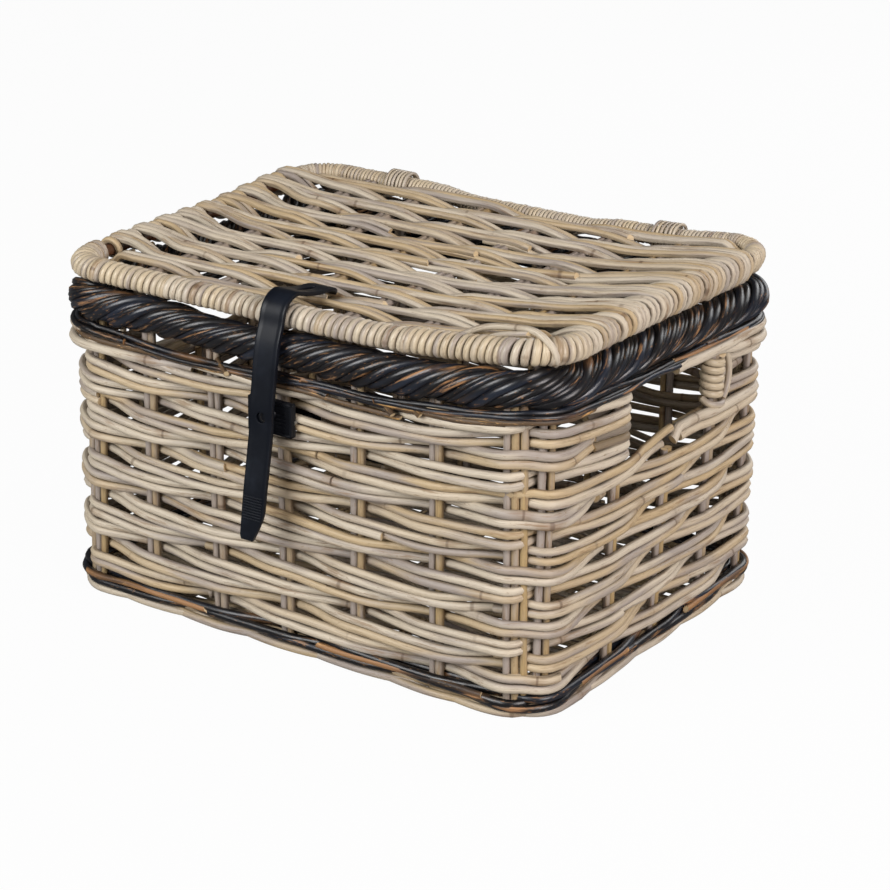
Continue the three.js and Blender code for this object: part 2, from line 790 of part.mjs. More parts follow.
// A ribbon of even thickness along a [y, z] line, as wide as the strap.
function ribbon(line) {
  const half = strapThick / 2;
  const left = [];
  const right = [];
  line.forEach(([y, z], k) => {
    const before = line[Math.max(k - 1, 0)];
    const after = line[Math.min(k + 1, line.length - 1)];
    const dy = after[0] - before[0];
    const dz = after[1] - before[1];
    const size = Math.hypot(dy, dz);
    left.push([y - (half * dz) / size, z + (half * dy) / size]);
    right.push([y + (half * dz) / size, z - (half * dy) / size]);
  });
  return toSolid(alongX([...left, ...right.reverse()], strapX - strapWidth / 2, strapX + strapWidth / 2));
}

const half = strapWidth / 2;
const overBorder = lidBorder + loopGap + strapThick / 2;
const tongueTip = -poleY + tongueReach;
const tongueStart = tongueTip - tongueLength;
const eyeMid = -poleY + eyeReach;
const aboveStrap = panelTop + 2 * lidBorder;
const seat = { from: 75, to: 168, steps: 6 };
const anchorLine = [[tongueTip - gap, panelTop + loopGap + strapThick / 2]];
for (let k = 0; k <= seat.steps; k += 1) {
  const a = THREE.MathUtils.degToRad(seat.from + (seat.to - seat.from) * (k / seat.steps));
  anchorLine.push([-poleY + overBorder * Math.cos(a), lidCentreZ + overBorder * Math.sin(a)]);
}

// The upper end narrows to a round tip, with a long eye behind it.
const anchorPlan = [new THREE.Vector2(strapX - half, -lidHalfY - lidBorder)];
anchorPlan.push(new THREE.Vector2(strapX + half, -lidHalfY - lidBorder));
for (let k = 0; k <= 8; k += 1) {
  const a = Math.PI * (k / 8);
  anchorPlan.push(new THREE.Vector2(
    strapX + half * Math.cos(a), tongueStart + tongueLength * Math.sin(a)));
}
const eyePlan = [];
for (let k = 0; k < 8; k += 1) {
  const a = 2 * Math.PI * (k / 8);
  eyePlan.push(new THREE.Vector2(
    strapX + (eyeWidth / 2) * Math.cos(a), eyeMid + (eyeLength / 2) * Math.sin(a)));
}
add('strap_anchor', ribbon(anchorLine)
  .intersect(toSolid(upright(anchorPlan, rimTop, aboveStrap)))
  .subtract(toSolid(upright(eyePlan, rimTop, aboveStrap))), materials.rubber);

// From the border the strap leans out to clear the rim and the peg, then hangs and flares outward.
// Each of its upper points is a share of the way down to the hole and a share of the way out.
const swingY = -poleY - overBorder;
const holeY = pegFront - hookGap - strapThick / 2;
const holeTop = strapHoleZ + strapHoleFlat;
const holeBottom = strapHoleZ - strapHoleFlat;
const leaning = [[0, 0], [0.1, 0.22], [0.24, 0.45], [0.47, 0.64], [0.73, 0.76]];
const tailLine = leaning.map(([down, out]) => [
  swingY + (holeY - swingY) * out, lidCentreZ + (holeTop - lidCentreZ) * down]);
tailLine.push([holeY, holeTop], [holeY, holeBottom], [holeY - strapFlare, strapEndZ]);
let tail = ribbon(tailLine).add(toSolid(barAlongX(
  strapThick / 2, strapX - half, strapX + half, swingY, lidCentreZ, 12)));
for (let k = 0; k < gripRibs; k += 1) {
  const z = strapEndZ + gripFromEnd + k * gripPitch;
  const down = (holeBottom - z) / (holeBottom - strapEndZ);
  tail = tail.add(toSolid(barAlongX(
    gripRadius, strapX - half + gripInset, strapX + half - gripInset,
    holeY - strapFlare * down - strapThick / 2, z, 6)));
}

// Front outline of the tail, with a tapered lower end.
const tailFront = [
  [-half, aboveStrap], [half, aboveStrap], [half, strapEndZ + taperLength],
  [half * 0.45, strapEndZ + taperLength * 0.12], [half * 0.2, strapEndZ + gap],
  [half * -0.55, strapEndZ + gap], [half * -0.8, strapEndZ + taperLength * 0.2],
  [-half, strapEndZ + taperLength * 0.6],
].map(([x, z]) => [strapX + x, z]);
const frontPrism = loft([holeY - 2 * strapFlare, holeY + 2 * strapFlare].map(
  (y) => tailFront.map(([x, z]) => new THREE.Vector3(x, y, z))), false);
add('strap_tail', tail
  .intersect(toSolid(frontPrism))
  .subtract(toSolid(barAlongY(
    strapHoleRadius, strapX, holeY - 2 * strapThick, holeY + 2 * strapThick, strapHoleZ, 16,
  ))), materials.rubber);

export default group;
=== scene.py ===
import math

import bmesh
import bpy
import numpy as np
from bpy.props import FloatProperty, FloatVectorProperty, IntProperty, PointerProperty
from bpy.types import Operator, Panel, PropertyGroup
from mathutils import Matrix, Vector


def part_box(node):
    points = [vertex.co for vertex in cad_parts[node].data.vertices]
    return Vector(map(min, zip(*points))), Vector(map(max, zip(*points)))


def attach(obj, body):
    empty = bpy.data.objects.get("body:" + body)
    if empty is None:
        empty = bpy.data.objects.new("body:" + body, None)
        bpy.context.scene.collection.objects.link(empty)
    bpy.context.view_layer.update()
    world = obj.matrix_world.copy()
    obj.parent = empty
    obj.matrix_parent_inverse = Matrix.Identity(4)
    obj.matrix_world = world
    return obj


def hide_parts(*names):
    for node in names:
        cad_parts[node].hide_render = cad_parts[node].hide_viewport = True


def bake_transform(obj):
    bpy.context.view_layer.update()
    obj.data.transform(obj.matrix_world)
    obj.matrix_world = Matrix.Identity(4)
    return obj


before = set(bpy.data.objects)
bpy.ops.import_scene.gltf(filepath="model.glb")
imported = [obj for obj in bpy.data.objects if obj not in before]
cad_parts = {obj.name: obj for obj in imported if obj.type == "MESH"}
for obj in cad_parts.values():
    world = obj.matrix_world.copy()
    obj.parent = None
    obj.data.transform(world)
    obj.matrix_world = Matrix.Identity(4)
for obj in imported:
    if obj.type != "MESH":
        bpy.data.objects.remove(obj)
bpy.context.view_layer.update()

bl_info = {
    "name": "Lidded Bicycle Basket",
    "version": (1, 0, 0),
    "blender": (4, 5, 0),
    "location": "View3D > Sidebar > Basket",
    "description": "Dresses the basket's frame in woven rattan, with a rubber closing strap",
    "category": "Object",
}

# Millimetres, for sizes that are easier to read in them
MM = 0.001

# Distance between the places where a weaver's line is worked out
LINE_STEP = 2.5 * MM

# Distances in millimetres between a rod's knots, which swell it by a share over a short stretch
KNOT_SPACING = (150, 340)
KNOT_SWELL, KNOT_STRETCH = 0.09, 2 * MM


def low_high(node):
    """The lowest and the highest corner of one of the frame's nodes."""
    return [np.array(corner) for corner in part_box(node)]


def middle(node):
    """The middle of a node's box."""
    low, high = low_high(node)
    return (low + high) / 2


def heights(node):
    """The lowest and the highest height of a node."""
    low, high = low_high(node)
    return low[2], high[2]


# Places that come from the frame

FRONT_LOW, FRONT_HIGH = low_high("wall_front")
STAKE_LINE_X = middle("wall_right")[0]
STAKE_LINE_Y = -middle("wall_front")[1]
STAKE_CORNER = STAKE_LINE_X - FRONT_HIGH[0]
WEAVE_LOW, WEAVE_HIGH = FRONT_LOW[2], FRONT_HIGH[2]
SILL_LOW, SILL_HIGH = heights("handle_sill_right")
RIM_LOW, RIM_HIGH = low_high("rim")
FLOOR_LOW, FLOOR_HIGH = low_high("base_panel")
POLE_LOW, POLE_HIGH = low_high("lid_pole")
POLE_RADIUS = (POLE_HIGH[2] - POLE_LOW[2]) / 2

# The border is made thinner than the frame's pole, and wider from side to side
POLE_X, POLE_Y = POLE_HIGH[0] - POLE_RADIUS + 8 * MM, POLE_HIGH[1] - POLE_RADIUS
THIN_POLE = POLE_RADIUS - 2 * MM

LID_Z = middle("lid_pole")[2]
LID_REACH = low_high("lid_rib_1")[1][1]
RIB_X = np.array([middle(f"lid_rib_{k}")[0] for k in range(1, 7)])
PLATE_LOW, PLATE_HIGH = low_high("knob_plate")
TAIL_LOW, TAIL_HIGH = low_high("strap_tail")
STRAP_X = middle("strap_tail")[0] - 2 * MM

# The strap's hole for the peg and its long eye in the lid: where they are, and half their sizes
PEG_Z, HOLE_HALF = 195 * MM, (4.2 * MM, 4.2 * MM)
EYE_Y, EYE_HALF = -139 * MM, (12 * MM, 2.6 * MM)

STAKE_NAMES = (
    [f"stake_front_{k}" for k in range(1, 8)] + [f"stake_right_{k}" for k in range(1, 6)]
    + [f"stake_back_{k}" for k in range(7, 0, -1)] + [f"stake_left_{k}" for k in range(5, 0, -1)])

# How far the stakes stand from their places along the wall, at a low and at a high place, counted
# counterclockwise from the front left
LEAN_LOW, LEAN_HIGH = 30 * MM, 200 * MM
STAKE_LEANS = MM * np.array([
    (4, 9), (-6, -6), (-5, -8), (-5, -8), (-5, -5), (1, -2), (0, -4), (-9, -9), (6, 9), (4, 17), (6, 11),
    (-2, 0), (3, 6), (-4, -1), (2, -3), (-3, -5), (0, 4), (4, 3), (-2, -6), (-6, -7), (3, 6), (2, 8),
    (4, 9), (0, -3)])


# Lines

class Course:
    """A rounded rectangle seen from above, walked counterclockwise from the front left corner."""

    def __init__(self, half_x, half_y, corner):
        self.corner = corner
        across, along = 2 * (half_x - corner), 2 * (half_y - corner)
        arc = math.pi / 2 * corner
        self.legs = np.array([across, arc, along, arc] * 2)
        self.starts = np.concatenate([[0.0], np.cumsum(self.legs)])
        self.length = self.starts[-1]
        x, y = half_x - corner, half_y - corner
        self.centres = np.array([(x, -y), (x, y), (-x, y), (-x, -y)])

    def at(self, s, out=0.0):
        """The x and y of a place on the course, and out of it."""
        s = np.mod(s, self.length)
        leg = np.clip(np.searchsorted(self.starts, s, side="right") - 1, 0, 7)
        along = s - self.starts[leg]
        turn = (leg // 2) * math.pi / 2 - math.pi / 2
        straight = leg % 2 == 0
        centre = np.where(straight[:, None], self.centres[(leg // 2) - 1], self.centres[leg // 2])
        angle = np.where(straight, turn, turn + along / self.corner)
        slide = np.where(straight, along, 0.0)
        reach = self.corner + out
        x = centre[:, 0] + reach * np.cos(angle) - slide * np.sin(angle)
        y = centre[:, 1] + reach * np.sin(angle) + slide * np.cos(angle)
        return x, y

    def line(self, s, out, height):
        """Points on the course, each with its own reach outward and height."""
        s = np.asarray(s, float)
        x, y = self.at(s, out)
        return np.column_stack([x, y, np.broadcast_to(height, s.shape)])

    def bends(self, s):
        """Whether a place lies in a corner."""
        return (np.searchsorted(self.starts, s % self.length, side="right") - 1) % 2 == 1

    def forward(self, s):
        """The direction of the course at each place."""
        step = self.line(np.asarray(s, float) + 1 * MM, 0.0, 0.0) - self.line(s, 0.0, 0.0)
        return step / np.linalg.norm(step, axis=1)[:, None]

    def station(self, point):
        """The place on the course that is nearest to a point."""
        s = np.linspace(0.0, self.length, 12000, endpoint=False)
        x, y = self.at(s)
        return s[np.argmin((x - point[0]) ** 2 + (y - point[1]) ** 2)]


def crossing(s, stations, sides, length=None):
    """How a weaver lies against its stakes: from -1, behind them, to 1, in front of them.

    Also gives how near a place is to the middle between two stakes, and the number of the stake before it.
    """
    count = len(stations)
    if length is not None:
        stations = np.concatenate([stations + turn * length for turn in (-1, 0, 1, 2)])
        sides = np.tile(sides, 4)
    after = np.clip(np.searchsorted(stations, s, side="right"), 1, len(stations) - 1)
    before = after - 1
    t = np.clip((s - stations[before]) / (stations[after] - stations[before]), 0.0, 1.0)
    value = sides[before] + (sides[after] - sides[before]) * ramp(t, 0.0, 1.0)
    return value, 4 * t * (1 - t), before % count


def wander(rng, s, wavelength, amount):
    """A slow random drift along a line."""
    drift = np.zeros_like(s)
    for share, weight in ((1.0, 0.6), (0.57, 0.3), (0.31, 0.2)):
        drift += weight * np.sin(2 * math.pi * s / (wavelength * share) + rng.uniform(0, 2 * math.pi))
    return amount * drift


def walked(line):
    """The distance along a line at each of its points."""
    steps = np.linalg.norm(np.diff(line, axis=0), axis=1)
    return np.concatenate([[0.0], np.cumsum(steps)])


def ramp(value, start, length):
    """An even rise from 0 to 1 that begins at a start and takes a length."""
    t = np.clip((value - start) / length, 0.0, 1.0)
    return t * t * (3 - 2 * t)


def hump(value, centre, width):
    """A soft hump of height 1 round a centre."""
    return np.exp(-((value - centre) / width) ** 2)


def columns(x, y, z):
    """Points from their coordinates, any of which may be one number for all."""
    return np.column_stack(np.broadcast_arrays(x, y, z))


def rounded_line(points, rounds=3):
    """A line with its corners cut off again and again, until it is a smooth curve."""
    line = np.asarray(points, float)
    for _ in range(rounds):
        near = 0.75 * line[:-1] + 0.25 * line[1:]
        far = 0.25 * line[:-1] + 0.75 * line[1:]
        inner = np.empty((2 * len(near), line.shape[1]))
        inner[0::2], inner[1::2] = near, far
        line = np.vstack([line[:1], inner, line[-1:]])
    return line


def out_of_true(points):
    """Points after the basket has twisted with age: its right side stands high, the front and back sag."""
    x, y, z = points.T

    # How near a point is to the front right corner, to the front, and to the lid: 0 is far, 1 is near
    corner = np.clip((x - 40 * MM) / (165 * MM), 0.0, 1.0) ** 2 * (1 - (y + 155 * MM) / (370 * MM))
    forward = ramp(-y, -POLE_Y, 150 * MM)
    lid = ramp(z, RIM_HIGH[2], 14 * MM)

    # How far it goes up or down, in millimetres
    sag = (4.6 - 2.6 * ramp(x, 40 * MM, 120 * MM)) * lid * forward
    rise = (12 * corner - 2.5 - sag) * (0.35 + 0.65 * forward) * ramp(z, 120 * MM, 115 * MM)
    raised = 6 * lid * ramp(x, 120 * MM, 80 * MM) * ramp(y, -140 * MM, 180 * MM)
    border = ramp(y, POLE_Y - 16 * MM, 8 * MM)
    hung = 4.5 * lid * border * (1 - ramp(np.abs(x), 50 * MM, 45 * MM))
    return columns(x, y, z + (rise + raised - hung) * MM)


def directions(line):
    """Unit vectors along a line and two across it that turn as little as they can."""
    along = np.gradient(line, axis=0)
    along /= np.linalg.norm(along, axis=1)[:, None]
    across = np.empty_like(line)
    first = np.cross(along[0], (0.0, 0.0, 1.0) if abs(along[0][2]) < 0.8 else (0.0, 1.0, 0.0))
    across[0] = first / np.linalg.norm(first)
    for k in range(1, len(line)):
        turned = across[k - 1] - along[k] * across[k - 1].dot(along[k])
        across[k] = turned / math.sqrt(turned.dot(turned))
    return along, across, np.cross(along, across)


# Meshes

def link(name, mesh):
    """A new object with this mesh, in the scene."""
    piece = bpy.data.objects.new(name, mesh)
    bpy.context.scene.collection.objects.link(piece)
    return piece


class Bundle:
    """Rods gathered into one piece. Each rod is a round bar along its own line."""

    def __init__(self, seed, sides=8):
        self.rng = np.random.default_rng(seed)
        self.sides = sides
        self.count = 0
        self.points, self.grain, self.kind, self.groove = [], [], [], []
        self.quads, self.fans = [], []

    def rod(self, line, radius, tone=None, step=5 * MM, knots=True, slant=0.35, flat=1.0, beside=(0, 0, 1)):
        """Adds a rod. Its tone, from 0 to 1, picks its colour, and slant is how askew its ends are cut.

        beside is the direction in which its neighbours lie; the skin that faces them is painted darker,
        partly soiling and partly painted shade.
        """
        rng = self.rng
        reach = walked(line)
        spacing = rng.uniform(*KNOT_SPACING) * MM
        first = rng.uniform()
        tone = rng.uniform() if tone is None else tone
        stops = np.linspace(0.0, reach[-1], max(int(reach[-1] / step), 2) + 1)
        if knots:
            places = (np.arange(1, int(reach[-1] / spacing + first) + 2) - first) * spacing
            round_knots = [places + near * MM for near in (-4, -1.6, 0, 1.6, 4)]
            stops = np.unique(np.concatenate([stops, *round_knots]))
            stops = stops[(stops >= 0.0) & (stops <= reach[-1])]
        centre = np.column_stack([np.interp(stops, reach, line[:, k]) for k in range(3)])
        along, across, third = directions(centre)
        growth = stops / spacing + first
        thick = radius * (1 + 0.04 * np.sin(stops / 0.07 + rng.uniform(0, 6)))
        if knots:
            near = np.abs(growth - np.round(growth)) * spacing
            thick = thick * (1 + KNOT_SWELL * hump(near, 0.0, KNOT_STRETCH))
        angle = np.arange(self.sides) * 2 * math.pi / self.sides
        cos, sin = np.cos(angle), np.sin(angle)
        spread = across[:, None, :] * (cos * flat)[:, None] + third[:, None, :] * sin[:, None]
        beside = np.broadcast_to(np.asarray(beside, float), np.shape(line))
        next_to = np.column_stack([np.interp(stops, reach, beside[:, k]) for k in range(3)])
        groove = np.abs((spread * next_to[:, None, :]).sum(axis=2))
        rings = centre[:, None, :] + spread * thick[:, None, None]
        for end, sign in ((0, -1), (-1, 1)):
            lean = slant * np.cos(angle - rng.uniform(0, 2 * math.pi)) * thick[end]
            rings[end] += along[end] * (lean * sign * rng.uniform())[:, None]
        self.wrap(rings, stops + rng.uniform(0, 30), growth, tone, cos, sin, groove)

    def wrap(self, rings, stops, growth, tone, cos, sin, groove):
        """Adds the skin over the rings of a rod, and a flat cut end at either side."""
        sides, length = self.sides, len(rings)
        order = np.arange(sides)
        after = (order + 1) % sides
        grain, kind = np.empty((length, sides, 3)), np.zeros((length, sides, 3))
        grain[:, :, 0], grain[:, :, 1], grain[:, :, 2] = stops[:, None], cos, sin
        kind[:, :, 0], kind[:, :, 1] = growth[:, None], tone
        base = self.count + np.arange(length - 1)[:, None] * sides
        self.put(rings, grain, kind, groove)
        here, beside = base + order, base + after
        self.quads.append(np.stack([here, beside, beside + sides, here + sides], axis=2).reshape(-1, 4))
        for end in (0, length - 1):
            ring = self.count
            self.put(rings[end], grain[end], kind[end] + (0.0, 0.0, 0.5), 0.0 * groove[end])
            hub = self.count
            self.put(rings[end].mean(axis=0), grain[end][0], (growth[end], tone, 1.0), 0.0)
            pair = (ring + after, ring + order) if end == 0 else (ring + order, ring + after)
            self.fans.append(np.column_stack([np.full(sides, hub), *pair]))

    def put(self, points, grain, kind, groove):
        """Adds points with what their material reads."""
        for store, values in ((self.points, points), (self.grain, grain), (self.kind, kind)):
            store.append(np.asarray(values, float).reshape(-1, 3))
        self.groove.append(np.asarray(groove, float).ravel())
        self.count += len(self.points[-1])

    def piece(self, name, finish, body="basket", slot="natural_rattan", replaced=()):
        """Makes the object, gives it its finish and puts it on its body."""
        mesh = bpy.data.meshes.new(name)
        quads, fans = np.concatenate(self.quads), np.concatenate(self.fans)
        mesh.vertices.add(self.count)
        mesh.vertices.foreach_set("co", out_of_true(np.concatenate(self.points)).ravel())
        corners = np.concatenate([quads.ravel(), fans.ravel()])
        mesh.loops.add(len(corners))
        mesh.loops.foreach_set("vertex_index", corners.astype(np.int32))
        starts = np.concatenate([4 * np.arange(len(quads)), 4 * len(quads) + 3 * np.arange(len(fans))])
        mesh.polygons.add(len(starts))
        mesh.polygons.foreach_set("loop_start", starts.astype(np.int32))
        mesh.polygons.foreach_set("use_smooth", np.arange(len(starts)) < len(quads))
        for label, kind, field, values in (
                ("rod_grain", "FLOAT_VECTOR", "vector", self.grain),
                ("rod_kind", "FLOAT_VECTOR", "vector", self.kind),
                ("rod_groove", "FLOAT", "value", self.groove)):
            layer = mesh.attributes.new(label, kind, "POINT")
            layer.data.foreach_set(field, np.concatenate(values).ravel())
        mesh.update(calc_edges=True)
        mesh.validate()
        mesh.materials.append(finish)
        return settle(link(name, mesh), body, replaced)


def settle(piece, body, replaced=()):
    """Puts a piece on its body, and in place of the frame's nodes."""
    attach(piece, body)
    if replaced:
        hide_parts(*replaced)
    return piece


# Shader parts that more than one finish uses

def feed(tree, socket, value):
    """Gives a socket a number, a colour, or what another socket puts out."""
    if isinstance(value, (int, float)):
        socket.default_value = value
    elif isinstance(value, tuple):
        socket.default_value = (*value, 1.0)
    else:
        tree.links.new(value, socket)


def add(tree, kind, inputs, **settings):
    """A new node with its settings, and with its inputs fed."""
    node = tree.nodes.new(f"ShaderNode{kind}")
    for name, value in settings.items():
        setattr(node, name, value)
    for slot, value in inputs.items():
        feed(tree, node.inputs[slot], value)
    return node


def calc(tree, operation, *values):
    """A Math node on numbers or sockets."""
    return add(tree, "Math", dict(enumerate(values)), operation=operation).outputs[0]


def times(tree, first, *others):
    """The product of two or more numbers or sockets."""
    for other in others:
        first = calc(tree, "MULTIPLY", first, other)
    return first


def between(tree, value, low, high):
    """A mask that rises smoothly from 0 at low to 1 at high."""
    inputs = {"Value": value, "From Min": low, "From Max": high}
    return add(tree, "MapRange", inputs, interpolation_type="SMOOTHSTEP").outputs["Result"]


def below(tree, value, low, high):
    """A mask that falls smoothly from 1 at low to 0 at high."""
    return calc(tree, "SUBTRACT", 1.0, between(tree, value, low, high))


def blended(tree, factor, first, second, how="MIX"):
    """A colour mixed from two others."""
    return add(tree, "Mix", {0: factor, 6: first, 7: second}, data_type="RGBA", blend_type=how).outputs[2]


def joined(tree, x, y, z):
    """A vector made of three numbers or sockets."""
    return add(tree, "CombineXYZ", {0: x, 1: y, 2: z}).outputs[0]


def noise(tree, vector, scale=1.0, detail=2.0, roughness=0.5):
    """A noise value from 0 to 1."""
    inputs = {"Vector": vector, "Scale": scale, "Detail": detail, "Roughness": roughness}
    return add(tree, "TexNoise", inputs).outputs["Fac"]


def new_group(name, inputs, outputs):
    """A node group with sockets of these kinds: its tree, what goes into it and what comes out."""
    tree = bpy.data.node_groups.new(name, "ShaderNodeTree")
    for way, sockets in (("INPUT", inputs), ("OUTPUT", outputs)):
        for kind, labels in sockets.items():
            for label in labels:
                tree.interface.new_socket(name=label, in_out=way, socket_type=f"NodeSocket{kind}")
    return tree, tree.nodes.new("NodeGroupInput").outputs, tree.nodes.new("NodeGroupOutput").inputs


def grouped(tree, name, make, inputs):
    """What comes out of a node group that many finishes share, and that is built once."""
    node = tree.nodes.new("ShaderNodeGroup")
    node.node_tree = bpy.data.node_groups.get(name) or make(name)
    for label, value in inputs.items():
        feed(tree, node.inputs[label], value)
    return node.outputs


ROD_COLOURS = ("Pale", "Warm", "Grey", "Stain", "Knot", "Pith", "Grime")


def rod_skin_group(name):
    """Fibres, blotches, knots and cut ends along a rod, with painted shade and soiling in its grooves and
    painted shade inside.
    """
    amounts = ("Groove", "Stain Amount", "Fibre Amount", "Grime Amount", "Inner Side")
    tree, given, result = new_group(
        name, {"Vector": ("Grain", "Kind"), "Color": ROD_COLOURS, "Float": amounts},
        {"Color": ("Color",), "Float": ("Height", "Wear")})
    along, cos, sin = add(tree, "SeparateXYZ", {0: given["Grain"]}).outputs
    growth, tone, pith = add(tree, "SeparateXYZ", {0: given["Kind"]}).outputs
    shift = times(tree, tone, 37.0)

    def drawn_out(lengthways, around, offset):
        """A place on the skin for noise that is stretched along the rod."""
        x = calc(tree, "ADD", times(tree, along, lengthways), offset)
        y = calc(tree, "ADD", times(tree, cos, around), shift)
        return joined(tree, x, y, times(tree, sin, around))

    broad = noise(tree, drawn_out(11.0, 0.35, 0.0))
    blotch = noise(tree, drawn_out(24.0, 0.8, 5.0), detail=4.0, roughness=0.65)
    fibre = noise(tree, drawn_out(45.0, 5.0, 9.0), detail=4.0, roughness=0.7)
    speck = noise(tree, drawn_out(260.0, 3.0, 2.0))
    streak = times(tree, between(tree, fibre, 0.5, 0.72), given["Fibre Amount"])
    mark = times(tree, between(tree, speck, 0.62, 0.7), between(tree, blotch, 0.42, 0.58), 0.8)
    worn = times(
        tree, calc(tree, "MAXIMUM", between(tree, blotch, 0.57, 0.69), mark), given["Stain Amount"])
    # Soiling and painted shade: the skin that faces a neighbouring rod is painted darker, more where
    # blotches lie.
    grime_and_shade_mask = calc(tree, "ADD", 0.4, times(tree, between(tree, blotch, 0.35, 0.6), 0.6))
    grime_and_shade_mask = times(tree, grime_and_shade_mask, between(tree, given["Groove"], 0.74, 1.0), given["Grime Amount"])
    # Painted shade: the side of a wall rod that faces into the basket is painted darker.
    inner = times(tree, below(tree, cos, -0.75, -0.15), given["Inner Side"])

    off = calc(tree, "PINGPONG", growth, 0.5)
    number = times(tree, calc(tree, "ROUND", growth), 5.3)
    strong = between(tree, noise(tree, joined(tree, number, shift, 0.5), detail=0.0), 0.42, 0.62)
    ring = times(tree, below(tree, off, 0.002, 0.009), strong)
    halo = times(tree, below(tree, off, 0.01, 0.07), strong, between(tree, blotch, 0.35, 0.6))
    colour = blended(tree, between(tree, tone, 0.25, 0.9), given["Pale"], given["Warm"])
    for mask, over, how in (
            (between(tree, broad, 0.45, 0.72), "Grey", "MIX"), (streak, "Stain", "MULTIPLY"),
            (worn, "Stain", "MIX"), (grime_and_shade_mask, "Grime", "MIX"), (inner, "Grime", "MIX"),
            (times(tree, halo, 0.55), "Stain", "MIX"), (times(tree, ring, 0.6), "Knot", "MIX"),
            (between(tree, pith, 0.35, 0.75), "Pith", "MIX")):
        colour = blended(tree, mask, colour, given[over], how)
    height = calc(tree, "SUBTRACT", times(tree, fibre, 0.6), times(tree, ring, 0.5))
    for label, value in (("Color", colour), ("Height", height), ("Wear", worn)):
        tree.links.new(value, result[label])
    return tree


def moulded_group(name):
    """The fine unevenness and dust of a moulded surface."""
    tree, given, result = new_group(
        name, {"Color": ("Base", "Dust"), "Float": ("Dust Amount", "Pebble")},
        {"Color": ("Color",), "Float": ("Height", "Dull")})
    place = add(tree, "TexCoord", {}).outputs["Object"]
    cloud = noise(tree, place, scale=38.0, detail=5.0, roughness=0.6)
    dusty = times(tree, between(tree, cloud, 0.45, 0.75), given["Dust Amount"])
    tree.links.new(blended(tree, dusty, given["Base"], given["Dust"]), result["Color"])
    tree.links.new(noise(tree, place, scale=given["Pebble"]), result["Height"])
    tree.links.new(cloud, result["Dull"])
    return tree


# Finishes

def tint(red, green, blue):
    """A colour as it looks on a screen, from 0 to 255, in the linear values of a shader."""
    values = [value / 255 for value in (red, green, blue)]
    return tuple(v / 12.92 if v <= 0.04045 else ((v + 0.055) / 1.055) ** 2.4 for v in values)


def chosen(name):
    """One of the colours that the user can change."""
    return tuple(getattr(bpy.context.scene.basket_colours, name))


def bare_material(name):
    """A material with only a Principled BSDF and its output."""
    material = bpy.data.materials.new(name)
    material.use_nodes = True
    tree = material.node_tree
    tree.nodes.clear()
    shader = add(tree, "BsdfPrincipled", {})
    add(tree, "OutputMaterial", {0: shader.outputs[0]})
    return material, tree, shader


def surfaced(tree, shader, colour, dullness, dull):
    """Feeds the shader a colour, and a roughness between two that a value picks."""
    tree.links.new(colour, shader.inputs["Base Color"])
    rough = add(tree, "MapRange", {"Value": dullness, "To Min": dull[0], "To Max": dull[1]})
    tree.links.new(rough.outputs["Result"], shader.inputs["Roughness"])


def bumped(tree, shader, height, strength, distance):
    """Feeds a height into the shader's normal."""
    bump = add(tree, "Bump", {"Strength": strength, "Distance": distance, "Height": height})
    tree.links.new(bump.outputs[0], shader.inputs["Normal"])


def rod_finish(name, colours, stains, fibres, dull, relief=0.35, grime_and_shade_amount=0.62, gloss=0.5, inner=0.0):
    """Rattan. The colours are its pale, warm, grey, stain, knot, pith, and a dark colour for soiling and
    painted shade, as the user chose them.

    dull is how rough the rod is, and how rough where it is worn. inner is how much painted shade darkens
    the side that faces into the basket.
    """
    if name in bpy.data.materials:
        return bpy.data.materials[name]
    material, tree, shader = bare_material(name)
    inputs = {label: chosen(colour) for label, colour in zip(ROD_COLOURS, colours.split())}
    inputs |= {"Stain Amount": stains, "Fibre Amount": fibres, "Grime Amount": grime_and_shade_amount, "Inner Side": inner}
    for label, kind in (("Grain", "Vector"), ("Kind", "Vector"), ("Groove", "Fac")):
        inputs[label] = add(tree, "Attribute", {}, attribute_name=f"rod_{label.lower()}").outputs[kind]
    skin = grouped(tree, "rod_skin", rod_skin_group, inputs)
    surfaced(tree, shader, skin["Color"], skin["Wear"], dull)
    shader.inputs["Specular IOR Level"].default_value = gloss
    bumped(tree, shader, skin["Height"], relief, 0.6 * MM)
    return material


def natural_finish():
    """Greyed natural rattan of the weave."""
    return rod_finish("natural_rattan_finish", "pale warm grey stain knot pith grime", 0.62, 0.55,
                      (0.5, 0.75))


def wall_finish():
    """The same rattan in the walls, with painted shade on the side of each rod that faces into the basket.
    """
    return rod_finish("wall_rattan_finish", "pale warm grey stain knot pith grime", 0.62, 0.55,
                      (0.5, 0.75), inner=0.6)


def cane_finish():
    """The yellower, shinier cane that is wound round the border and the posts."""
    return rod_finish("border_cane_finish", "cane pale grey stain knot pith grime", 0.7, 0.5, (0.38, 0.64),
                      grime_and_shade_amount=0.85)


def node_finish():
    """Brown turns where one length of cane ends and the next begins."""
    return rod_finish("cane_node_finish", "cane stain grey stain knot pith grime", 0.9, 0.8, (0.4, 0.6),
                      grime_and_shade_amount=0.85)


def stake_finish():
    """The browner rattan of the stakes and ribs."""
    return rod_finish("stake_rattan_finish", "grey stake grey stain knot pith grime", 0.65, 0.5,
                      (0.5, 0.75))


def dark_finish():
    """Dark stained rattan of the rim and bands, worn through to brown in places, with bluish stretches that
    are partly painted sheen.
    """
    return rod_finish("dark_rattan_finish", "dark dark dark_blue worn knot worn dark_grime", 0.9, 0.0,
                      (0.29, 0.55), relief=0.45, grime_and_shade_amount=0.95, gloss=0.6)


def peeled_finish():
    """Dark rods whose skin has come off, down to flecked yellow brown wood."""
    return rod_finish("peeled_rattan_finish", "peeled worn peeled_grey fleck dark pith peeled_grime", 0.9,
                      0.6, (0.5, 0.55), relief=0.6)


def pole_finish():
    """The reddish brown pole inside the lid's border."""
    return rod_finish("frame_pole_finish", "pole pole knot knot knot pith grime", 0.4, 0.4, (0.55, 0.7))


